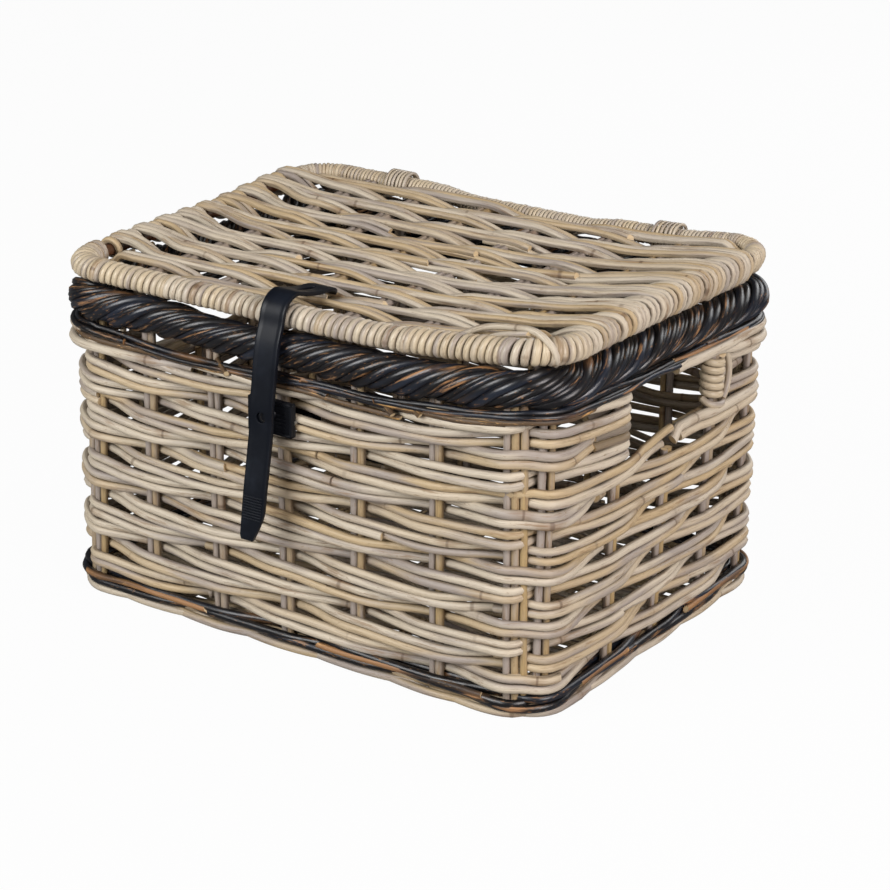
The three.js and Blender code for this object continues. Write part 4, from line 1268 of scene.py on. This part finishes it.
def wound_cane(bundle, course, begin, end, radius, core, turns_each):
    """Cane wound round the border from one place to another, in several lengths. Gives their ends."""
    rng = bundle.rng
    stops = []
    s = begin
    while s < end:
        turns = rng.integers(*turns_each)
        pitch = radius * (1.62 if course.bends(s) else 1.96)
        stop = min(s + turns * pitch, end)
        angle = np.arange(0, 2 * math.pi * (stop - s) / pitch, 0.28)
        reach = core + radius + wander(rng, angle, 9.0, 0.35 * MM)
        places = s + pitch * angle / (2 * math.pi)
        bundle.rod(winding(course, places, reach, angle), radius * rng.uniform(0.97, 1.05), step=3 * MM,
                   beside=course.forward(places))
        s = stop
        stops.append(s)
    return stops


def brown_turns(course, places, radius):
    """One raised turn of cane at each of these places."""
    nodes = Bundle(seed=715)
    for place in places:
        angle = np.linspace(0, 2 * math.pi, 26)
        s = place + radius * (angle / math.pi - 1)
        line = winding(course, s, THIN_POLE + radius + 0.25 * MM, angle)
        nodes.rod(line, radius * 1.06, tone=nodes.rng.uniform(0.3, 0.75), step=3 * MM, knots=False,
                  beside=course.forward(s))
    nodes.piece("front_border_nodes", node_finish(), body="lid")


def stray_ends(course):
    """A rod that comes out of the lid at its front right corner and turns round the border, and a cut end.

    A bend is given by how far it lies past the corner's start, its angle round the pole and its reach.
    """
    strays = Bundle(seed=730, sides=10)
    for radius, bends in (
            (2.5, ((-62, 172, 11), (-51, 157, 13), (-38, 135, 16.3), (-25, 126, 18.4), (-9, 118, 18.6),
                   (4, 112, 17.8), (13, 102, 16.4), (19, 84, 14.2), (24, 55, 12), (27, 20, 10.8),
                   (29, -25, 10.2), (30, -75, 9.8))),
            (2.0, ((-30, 150, 9.5), (-18, 120, 12), (-2, 104, 13.5), (12, 97, 14)))):
        ahead, angle, reach = np.array(bends, float).T
        angle = np.radians(angle)
        bent = columns(course.starts[1] + ahead * MM, reach * MM * np.cos(angle),
                       LID_Z + reach * MM * np.sin(angle))
        line = course.line(*rounded_line(bent).T)
        strays.rod(line, radius * MM, tone=0.3, slant=1.4, step=3 * MM, knots=False)
    strays.piece("stray_ends", natural_finish(), body="lid")


class BASKET_OT_lid_border(Operator):
    """Bends the lid's pole and winds cane round its front and back"""

    bl_idname = "basket.lid_border"
    bl_label = "Lid Border"

    def execute(self, context):
        sizes = context.scene.basket_sizes
        course = lid_course(sizes)
        pole = Bundle(seed=700, sides=12)
        back_begin, back_end = course.starts[4] - 4 * MM, course.starts[5] + 4 * MM
        for begin, end, thick in (
                (course.starts[5] - course.length, back_begin, THIN_POLE),
                (back_begin, back_end, POLE_RADIUS - 2.6 * MM)):
            s = np.arange(begin, end, 5 * MM)
            pole.rod(course.line(s, 0.0, LID_Z), thick, tone=0.5)
        pole.piece("border_pole", pole_finish(), "lid", "frame_pole", ["lid_pole"])
        spare = 7 * MM
        across, arc, along = course.legs[:3]
        front = Bundle(seed=710)
        cane, thin = sizes.cane_radius, sizes.thin_cane_radius
        stops = wound_cane(front, course, -arc - spare, across + arc + spare, cane, THIN_POLE, (3, 11))
        front.piece("front_border_cane", cane_finish(), body="lid", replaced=["lid_wrap_front"])
        brown_turns(course, stops[1:-1:2], cane)
        stray_ends(course)
        back = Bundle(seed=720, sides=7)
        begin = across + arc + along - spare
        end = begin + across + 2 * arc + 2 * spare
        wound_cane(back, course, begin, end, thin, POLE_RADIUS - 2.2 * MM, (5, 16))
        back.piece("back_border_cane", cane_finish(), body="lid", replaced=["lid_wrap_back"])
        return {"FINISHED"}


def lid_end(bundle, edge_row, side, y, lift):
    """The last stretch of a lid weaver, from the last rib over the border or under it: x, y and z."""
    if edge_row:
        x = np.array([POLE_X - 20 * MM, POLE_X - 12 * MM])
        return columns(side * x, y, np.array([LID_Z - 1 * MM, LID_Z - 5 * MM]))
    angle = np.radians(np.arange(84, -150, -14.0))
    reach = THIN_POLE + 3.1 * MM + lift
    drift = bundle.rng.uniform(-1.2, 0.6) * MM * np.linspace(0, 1, len(angle))
    return columns(side * (POLE_X + reach * np.cos(angle)), y + drift, LID_Z + reach * np.sin(angle))


def lid_weaver(bundle, sizes, row, half):
    """One rod of a row of the lid, over two ribs and under one, and round the border at both ends."""
    rng = bundle.rng
    pitch = 2 * LID_REACH / sizes.lid_rows
    edge_row = row < 2 or row > sizes.lid_rows - 3
    first_of_two = row % 2 == 0
    ribs = np.arange(len(RIB_X))
    sides = np.where((row - ribs) % 3 == 0, -1.0, 1.0)
    opening = np.where((row + 1 - ribs) % 3 == 0, -1.0 * MM, 0.0)
    opening = opening + np.where((row - 1 - ribs) % 3 == 0, 1.0 * MM, 0.0)
    end_x = POLE_X - (26 * MM if edge_row else 2 * MM)
    x = np.arange(-end_x, end_x, LINE_STEP)
    value, _, _ = crossing(x, RIB_X, sides)
    shift_y, _, _ = crossing(x, RIB_X, opening)
    reach = sizes.stake_radius + sizes.lid_rod_radius
    z = LID_Z + np.where(value > 0, 0.82, 1.1) * value * reach + wander(rng, x, 0.17, 0.5 * MM)
    left_lift = (0.0 if first_of_two else 1.4) * MM
    y = -LID_REACH + pitch * (row + 0.5) + half * (sizes.lid_rod_radius + 0.05 * MM)
    y = y + shift_y + wander(rng, x, 0.21, 1.3 * MM)
    if not edge_row:
        top = LID_Z + THIN_POLE + sizes.lid_rod_radius
        z = z + ramp(x, RIB_X[-1] + 12 * MM, end_x - RIB_X[-1] - 10 * MM) * (top - z)
        left = ramp(-x, 4 * MM - RIB_X[0], end_x + RIB_X[0] - 8 * MM)
        z = z + left * (top + left_lift - z)
        shift = (12.2 if first_of_two else 2.8) * MM - half * 0.4 * MM
        y = y + shift * ramp(-x, POLE_X - 58 * MM, 50 * MM)
    right_end = lid_end(bundle, edge_row, 1, y[-1], 0.0)
    left_end = lid_end(bundle, edge_row, -1, y[0], left_lift)
    line = np.vstack([left_end[::-1], columns(x, y, z), right_end])
    radius = sizes.lid_rod_radius * rng.uniform(0.86, 1.06)
    if rng.uniform() < 0.4:
        above = np.tile((0.0, 0.0, 1.0), (len(line), 1))
        spliced_rod(bundle, line, radius, rng.uniform(0.3, 0.75) * walked(line)[-1], above, step=4 * MM,
                    beside=(0, 1, 0))
    else:
        bundle.rod(line, radius, step=4 * MM, beside=(0, 1, 0))


def rib_rods(number, x, radius):
    """The pair of rods of one of the lid's ribs."""
    rib = Bundle(seed=850 + number)
    y = np.linspace(-LID_REACH - 4 * MM, LID_REACH + 4 * MM, 60)
    for side in (-1, 1):
        drift = wander(rib.rng, y, 0.2, 0.5 * MM)
        rib.rod(columns(x + side * 3.1 * MM + drift, y, LID_Z), radius)
    rib.piece(f"rib_rods_{number}", stake_finish(), "lid", "stake_rattan", [f"lid_rib_{number}"])


def left_border_rings(sizes):
    """Single turns round the left border that close it between the weavers."""
    rings = Bundle(seed=860)
    pitch = 2 * LID_REACH / sizes.lid_rows
    reach = THIN_POLE + sizes.lid_rod_radius
    angle = np.arange(0, 2 * math.pi + 0.3, 0.3)
    drift = 3.2 * MM * angle / (2 * math.pi) - 2 * MM
    for row in range(2, sizes.lid_rows - 2, 2):
        y = -LID_REACH + pitch * (row + 0.5) + 4.2 * MM
        line = columns(-POLE_X - reach * np.cos(angle), y + drift, LID_Z + reach * np.sin(angle))
        rings.rod(line, sizes.lid_rod_radius * 0.94, step=3 * MM, beside=(0, 1, 0))
    rings.piece("left_border_rings", natural_finish(), body="lid")


class BASKET_OT_lid_weave(Operator):
    """Weaves the lid over its ribs and round the short sides of the border"""

    bl_idname = "basket.lid_weave"
    bl_label = "Lid Weave"

    def execute(self, context):
        sizes = context.scene.basket_sizes
        for row in range(sizes.lid_rows):
            bundle = Bundle(seed=800 + row)
            for half in (-1, 1):
                lid_weaver(bundle, sizes, row, half)
            bundle.piece(f"lid_row_{row + 1:02d}", natural_finish(), body="lid", replaced=["lid_weave"])
        for number, x in enumerate(RIB_X, 1):
            rib_rods(number, x, sizes.stake_radius)
        left_border_rings(sizes)
        return {"FINISHED"}


class BASKET_OT_hinges(Operator):
    """Ties the lid's back border to the rim with loops of cane"""

    bl_idname = "basket.hinges"
    bl_label = "Hinge Lashings"

    def execute(self, context):
        cane = 1.35 * MM
        reach = POLE_RADIUS + 3.4 * MM + cane
        angle = np.radians(np.arange(215, -1, -9.0))
        over = np.column_stack([POLE_Y + reach * np.cos(angle), LID_Z + reach * np.sin(angle)])
        for seed, side in enumerate(("left", "right")):
            node = f"hinge_loop_{side}"
            low, high = low_high(node)
            back = high[1] - cane
            down = rounded_line([
                (back, LID_Z - 12 * MM), (back, low[2] + 14 * MM), (back - 1 * MM, low[2] + 5 * MM),
                (high[1] - 12 * MM, low[2] - 2 * MM)])
            path = np.vstack([over, down])
            lashing = Bundle(seed=900 + seed, sides=10)
            for place in (0.14, 0.28, 0.43, 0.57, 0.72, 0.86):
                x = low[0] + (high[0] - low[0]) * place
                drift = wander(lashing.rng, walked(path), 0.1, 0.4 * MM)
                lashing.rod(np.column_stack([x + drift, path]), cane, step=3 * MM)
            x = np.linspace(low[0] + 1 * MM, high[0] - 1 * MM, 16)
            y = high[1] + 0.6 * MM - 5 * MM * np.linspace(-1, 1, 16) ** 4
            for level in (17, 20.2):
                lashing.rod(columns(x, y, LID_Z - level * MM), 1.5 * MM, step=3 * MM)
            lashing.piece(f"hinge_lashing_{side}", cane_finish(), replaced=[node])
        return {"FINISHED"}


# Strap and plate

def strap_line(thickness):
    """The strap's own line seen from the side, as y and z, from its tip in the lid down to its free end."""
    over = 15.5 * MM + thickness / 2
    hole_y = PLATE_LOW[1] - 0.7 * MM - thickness / 2
    border_z = out_of_true(np.array([(STRAP_X, -POLE_Y, LID_Z)]))[0][2] + 2 * MM
    top = border_z + 11.4 * MM
    in_lid = ((-104, -11.4), (-111, -5), (-119, -1.5), (-134, -0.5), (-148, 2))
    points = [(y * MM, top + up * MM) for y, up in in_lid]
    for angle in np.radians(np.linspace(82, 168, 7)):
        points.append((-POLE_Y + over * math.cos(angle), border_z + over * math.sin(angle)))
    swing_y = -POLE_Y - over
    peg_top = PEG_Z + 6 * MM
    for down, out in ((0.05, 0.08), (0.14, 0.26), (0.26, 0.46), (0.47, 0.64), (0.73, 0.8)):
        points.append((swing_y + (hole_y - swing_y) * out, border_z + (peg_top - border_z) * down))
    points += [
        (hole_y, peg_top), (hole_y, PEG_Z - 6 * MM), (hole_y - 4 * MM, PEG_Z - 30 * MM),
        (hole_y - 9 * MM, PEG_Z - 57 * MM), (TAIL_LOW[1] + 1.5 * MM, TAIL_LOW[2] - 10 * MM)]
    return rounded_line(points)


def strap_outline(u, total, width):
    """The strap's left and right edge at distances along it. It tapers, and its free end is cut askew."""
    half = width / 2 * (1 - 0.1 * u / total)
    tip = np.clip(u / (34 * MM), 0.02, 1)
    half = half * np.sqrt(1 - (1 - tip) ** 2)
    to_end = total - u
    cut = np.clip(1 - to_end / (24 * MM), 0.0, 1.0) ** 1.4
    round_off = np.clip(1 - to_end / (4 * MM), 0.0, 1.0) ** 1.6
    return 1.4 * MM * round_off - half, half - 8.5 * MM * cut


def strap_sheet(line, reach, width):
    """The points and faces of the strap as a thin sheet with its eye and its hole."""
    total = reach[-1]
    after = len(line) // 3
    eye = reach[np.argmin(np.abs(line[:after, 0] - EYE_Y))]
    hole = reach[after + np.argmin(np.abs(line[after:, 1] - PEG_Z))]
    openings = ((hole, *HOLE_HALF), (eye, *EYE_HALF))
    rows = int(total / (1.7 * MM))
    u, v = np.linspace(0, total, rows), np.linspace(-1, 1, 15)
    left, right = strap_outline(u, total, width)
    across = left[:, None] + (right - left)[:, None] * (v + 1) / 2
    along = np.repeat(u[:, None], len(v), axis=1)
    mid_u = (along[:-1, :-1] + along[1:, 1:]) / 2
    mid_v = (across[:-1, :-1] + across[1:, 1:]) / 2
    index = np.arange(rows * len(v)).reshape(rows, len(v))
    faces = np.stack([index[:-1, :-1], index[:-1, 1:], index[1:, 1:], index[1:, :-1]], axis=2)
    keep = np.ones(mid_u.shape, bool)
    for at, long_half, wide_half in openings:
        keep &= ((mid_u - at) / long_half) ** 2 + (mid_v / wide_half) ** 2 > 1.0
    border = np.intersect1d(faces[keep], faces[~keep])
    u, across = along.ravel(), across.ravel()
    for at, long_half, wide_half in openings:
        away, aside = u[border] - at, across[border]
        size = np.sqrt((away / long_half) ** 2 + (aside / wide_half) ** 2)
        near = size < 2.0
        u[border[near]] = at + away[near] / size[near]
        across[border[near]] = aside[near] / size[near]
    slope = np.gradient(line, axis=0)
    slope /= np.linalg.norm(slope, axis=1)[:, None]
    edge = (np.abs(np.tile(v, rows)) > 0.82) & (u > 60 * MM)
    raised = np.where(edge, 0.35 * MM, 0.0)
    y = np.interp(u, reach, line[:, 0]) + np.interp(u, reach, slope[:, 1]) * raised
    z = np.interp(u, reach, line[:, 1]) + np.interp(u, reach, -slope[:, 0]) * raised
    used, faces = np.unique(faces[keep], return_inverse=True)
    return columns(STRAP_X + across, y, z)[used], faces.reshape(-1, 4)


def apply_modifiers(piece):
    """Turns the piece's modifiers into its mesh."""
    bpy.context.view_layer.update()
    shape = bpy.data.meshes.new_from_object(piece.evaluated_get(bpy.context.evaluated_depsgraph_get()))
    old = piece.data
    piece.modifiers.clear()
    piece.data = shape
    bpy.data.meshes.remove(old)


def smoothed(mesh, degrees, finish):
    """Shades a mesh smooth but for its sharp edges, and gives it its finish."""
    mesh.polygons.foreach_set("use_smooth", np.ones(len(mesh.polygons), bool))
    mesh.set_sharp_from_angle(angle=math.radians(degrees))
    mesh.materials.append(finish)


def add_grip(mesh, line, reach, thickness):
    """Lays nine small ribs across the strap's free end."""
    shape = bmesh.new()
    shape.from_mesh(mesh)
    lying = Matrix.Rotation(math.pi / 2, 4, "Y")
    for number in range(9):
        at = reach[-1] - (17 + 2.1 * number) * MM
        y, z = np.interp(at, reach, line[:, 0]), np.interp(at, reach, line[:, 1])
        place = Matrix.Translation((STRAP_X - 0.6 * MM, y - thickness / 2, z))
        bmesh.ops.create_cone(
            shape, cap_ends=True, segments=10, radius1=0.75 * MM, radius2=0.75 * MM, depth=17 * MM,
            matrix=place @ lying)
    shape.to_mesh(mesh)
    shape.free()


class BASKET_OT_strap(Operator):
    """Moulds the rubber strap, which bends where it leaves the lid"""

    bl_idname = "basket.strap"
    bl_label = "Closing Strap"

    def execute(self, context):
        thickness = context.scene.basket_sizes.strap_thickness
        line = strap_line(thickness)
        reach = walked(line)
        points, faces = strap_sheet(line, reach, TAIL_HIGH[0] - TAIL_LOW[0])
        mesh = bpy.data.meshes.new("closing_strap")
        mesh.from_pydata(points.tolist(), [], faces.tolist())
        strap = link("closing_strap", mesh)
        body = strap.modifiers.new("thickness", "SOLIDIFY")
        body.thickness = thickness
        body.offset = 0.0
        edges = strap.modifiers.new("edges", "BEVEL")
        edges.width = 0.5 * MM
        edges.segments = 2
        edges.limit_method = "ANGLE"
        apply_modifiers(strap)
        add_grip(strap.data, line, reach, thickness)
        smoothed(strap.data, 38, rubber_finish())
        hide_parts("strap_anchor", "strap_tail")
        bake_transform(strap)
        return {"FINISHED"}


def slab(shape, low, high, round_off, segments=3):
    """Adds a block with rounded edges to a mesh in the making."""
    made = bmesh.ops.create_cube(shape, size=1.0)["verts"]
    for vert in made:
        vert.co = Vector([low[k] + (high[k] - low[k]) * (vert.co[k] + 0.5) for k in range(3)])
    edges = list(dict.fromkeys(edge for vert in made for edge in vert.link_edges))
    bmesh.ops.bevel(shape, geom=edges, offset=round_off, segments=segments, profile=0.5, affect="EDGES")


def turned(shape, profile, x, z, sides=32):
    """Adds a round part along -Y to a mesh in the making. Its profile gives a radius at each y."""
    rings = []
    for radius, y in profile:
        angles = [2 * math.pi * k / sides for k in range(sides)]
        rings.append([
            shape.verts.new((x + radius * math.cos(a), y, z + radius * math.sin(a))) for a in angles])
    for first, second in zip(rings, rings[1:]):
        for k in range(sides):
            after = (k + 1) % sides
            shape.faces.new((first[k], first[after], second[after], second[k]))
    shape.faces.new(rings[0][::-1])
    shape.faces.new(rings[-1])


class BASKET_OT_closing_plate(Operator):
    """Moulds the closing plate with its peg, and finishes the parts behind the wall"""

    bl_idname = "basket.closing_plate"
    bl_label = "Closing Plate"

    def execute(self, context):
        shape = bmesh.new()
        low = PLATE_LOW + np.array((-1.5, 0.0, 3.0)) * MM
        high = PLATE_HIGH - np.array((5.5, 0.0, 0.0)) * MM
        face = high[1] - 6 * MM
        rim, gap = 3 * MM, 0.4 * MM
        slab(shape, (low[0], face + 0.9 * MM, low[2]), high, 1.6 * MM)
        for x0, x1, z0, z1 in (
                (low[0], high[0], high[2] - rim, high[2]), (low[0], high[0], low[2], low[2] + rim),
                (low[0], low[0] + rim, low[2], high[2]), (high[0] - rim, high[0], low[2], high[2])):
            slab(shape, (x0 + gap, face, z0 + gap), (x1 - gap, face + 2 * MM, z1 - gap), 0.7 * MM)
        for bar in range(5):
            z = low[2] + (6.4 + 3 * bar) * MM
            bar_high = (high[0] - 2 * rim, face + 1.5 * MM, z + 1.3 * MM)
            slab(shape, (low[0] + 2 * rim, face + gap, z), bar_high, 0.35 * MM, 2)
        peg = ((2.6, 0), (3.4, 0.5), (3.6, 1.3), (3.6, 2.4), (3.0, 3.4), (3.0, 6.6), (3.6, 8), (4.4, 10))
        turned(shape, [(radius * MM, low[1] + y * MM) for radius, y in peg], STRAP_X, PEG_Z)
        bmesh.ops.recalc_face_normals(shape, faces=shape.faces)
        mesh = bpy.data.meshes.new("closing_plate")
        shape.to_mesh(mesh)
        shape.free()
        smoothed(mesh, 32, plastic_finish())
        settle(link("closing_plate", mesh), "basket", ["knob_plate"])
        for node, finish in (
                ("backing_plate", plastic_finish()), ("plate_screw_1", steel_finish()),
                ("plate_screw_2", steel_finish())):
            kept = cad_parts[node]
            kept.data.materials.clear()
            kept.data.materials.append(finish)
        return {"FINISHED"}


# Stage

BASKET_MIDDLE = Vector((0.0, 0.0, 0.13))


def lamp(name, power, size, place, colour=(1.0, 1.0, 1.0)):
    """A square lamp at a place, turned to the basket's middle."""
    light = bpy.data.lights.new(name, "AREA")
    light.energy = power
    light.size = size
    light.color = colour
    holder = link(name, light)
    holder.location = place
    holder.rotation_euler = (BASKET_MIDDLE - Vector(place)).to_track_quat("-Z", "Y").to_euler()


def seen_plain(tree, lit, rays, share, brightness):
    """Lays a plain brightness over a shader, for a share of what some kinds of rays see."""
    path = add(tree, "LightPath", {}).outputs
    seen = path[rays[0]]
    for label in rays[1:]:
        seen = calc(tree, "MAXIMUM", seen, path[label])
    plain = add(tree, "Emission", {"Strength": brightness})
    seen = times(tree, seen, share)
    return add(tree, "MixShader", {0: seen, 1: lit, 2: plain.outputs[0]}).outputs[0]


def make_floor():
    """A round floor that the camera sees almost white, but for a faint shadow."""
    mesh = bpy.data.meshes.new("floor")
    shape = bmesh.new()
    bmesh.ops.create_circle(shape, cap_ends=True, segments=64, radius=14.0)
    shape.to_mesh(mesh)
    shape.free()
    material, tree, shader = bare_material("floor")
    feed(tree, shader.inputs["Base Color"], chosen("floor"))
    shader.inputs["Roughness"].default_value = 0.9
    look = seen_plain(tree, shader.outputs[0], ("Is Camera Ray", "Is Transmission Ray"), 0.965, 1.0)
    look = seen_plain(tree, look, ("Is Glossy Ray",), 1.0, 0.15)
    tree.links.new(look, tree.get_output_node("ALL").inputs[0])
    mesh.materials.append(material)
    link("floor", mesh)


def make_sky(scene, strength):
    """An even light from all sides. The camera sees a plain pale grey instead."""
    scene.world = bpy.data.worlds.new("sky")
    scene.world.use_nodes = True
    tree = scene.world.node_tree
    sky = tree.nodes["Background"]
    feed(tree, sky.inputs["Color"], (0.97, 0.98, 1.0))
    sky.inputs["Strength"].default_value = strength
    seen = add(tree, "LightPath", {}).outputs["Is Camera Ray"]
    plain = add(tree, "Background", {})
    mix = add(tree, "MixShader", {0: seen, 1: sky.outputs[0], 2: plain.outputs[0]})
    tree.links.new(mix.outputs[0], tree.nodes["World Output"].inputs[0])


def make_camera(scene, stage):
    """The camera, where and how the photograph was taken."""
    camera = bpy.data.cameras.new("camera")
    camera.sensor_fit = "HORIZONTAL"
    camera.sensor_width = 36.0
    camera.angle = stage.camera_angle
    camera.clip_start = 0.05
    holder = link("camera", camera)
    aim = Vector(stage.camera_aim).to_track_quat("-Z", "Y")
    holder.rotation_mode = "QUATERNION"
    holder.location = stage.camera_place
    holder.rotation_quaternion = aim @ Matrix.Rotation(stage.camera_roll, 3, "Z").to_quaternion()
    scene.camera = holder


class BASKET_OT_stage(Operator):
    """Sets the floor, the lamps, the sky and the camera"""

    bl_idname = "basket.stage"
    bl_label = "Stage"

    def execute(self, context):
        scene = context.scene
        stage = scene.basket_stage
        make_floor()
        make_sky(scene, stage.sky)
        lamp("key_lamp", stage.key_power, 1.3, (-0.6, -2.03, 1.28))
        lamp("fill_lamp", stage.fill_power, 1.2, (2.0, -0.5, 1.1), colour=(1.0, 0.94, 0.93))
        lamp("back_lamp", stage.back_power, 1.5, (0.5, 2.0, 1.2))
        make_camera(scene, stage)
        scene.view_settings.view_transform = "Standard"
        return {"FINISHED"}


STEPS = (
    "walls", "stakes", "bands", "base", "hand_openings", "rim", "lid_border", "lid_weave", "hinges",
    "strap", "closing_plate", "stage")


class BASKET_PT_panel(Panel):
    """Lists the steps of the basket and what can be changed"""

    bl_idname = "BASKET_PT_panel"
    bl_label = "Lidded Bicycle Basket"
    bl_space_type = "VIEW_3D"
    bl_region_type = "UI"
    bl_category = "Basket"

    def draw(self, context):
        layout = self.layout
        for step in STEPS:
            layout.operator(f"basket.{step}")
        for group in (context.scene.basket_sizes, context.scene.basket_colours, context.scene.basket_stage):
            box = layout.box()
            for name in group.__annotations__:
                box.prop(group, name)


CLASSES = (
    BasketSizes, BasketColours, BasketStage, BASKET_OT_walls, BASKET_OT_stakes, BASKET_OT_bands,
    BASKET_OT_base, BASKET_OT_hand_openings, BASKET_OT_rim, BASKET_OT_lid_border, BASKET_OT_lid_weave,
    BASKET_OT_hinges, BASKET_OT_strap, BASKET_OT_closing_plate, BASKET_OT_stage, BASKET_PT_panel)


def register():
    """Adds the classes and the scene's settings."""
    for cls in CLASSES:
        bpy.utils.register_class(cls)
    bpy.types.Scene.basket_sizes = PointerProperty(type=BasketSizes)
    bpy.types.Scene.basket_colours = PointerProperty(type=BasketColours)
    bpy.types.Scene.basket_stage = PointerProperty(type=BasketStage)


def unregister():
    """Takes them away again."""
    del bpy.types.Scene.basket_stage
    del bpy.types.Scene.basket_colours
    del bpy.types.Scene.basket_sizes
    for cls in reversed(CLASSES):
        bpy.utils.unregister_class(cls)


def main():
    """Registers the classes and makes every piece in order."""
    register()
    for step in STEPS:
        getattr(bpy.ops.basket, step)()


if __name__ == "__main__":
    main()
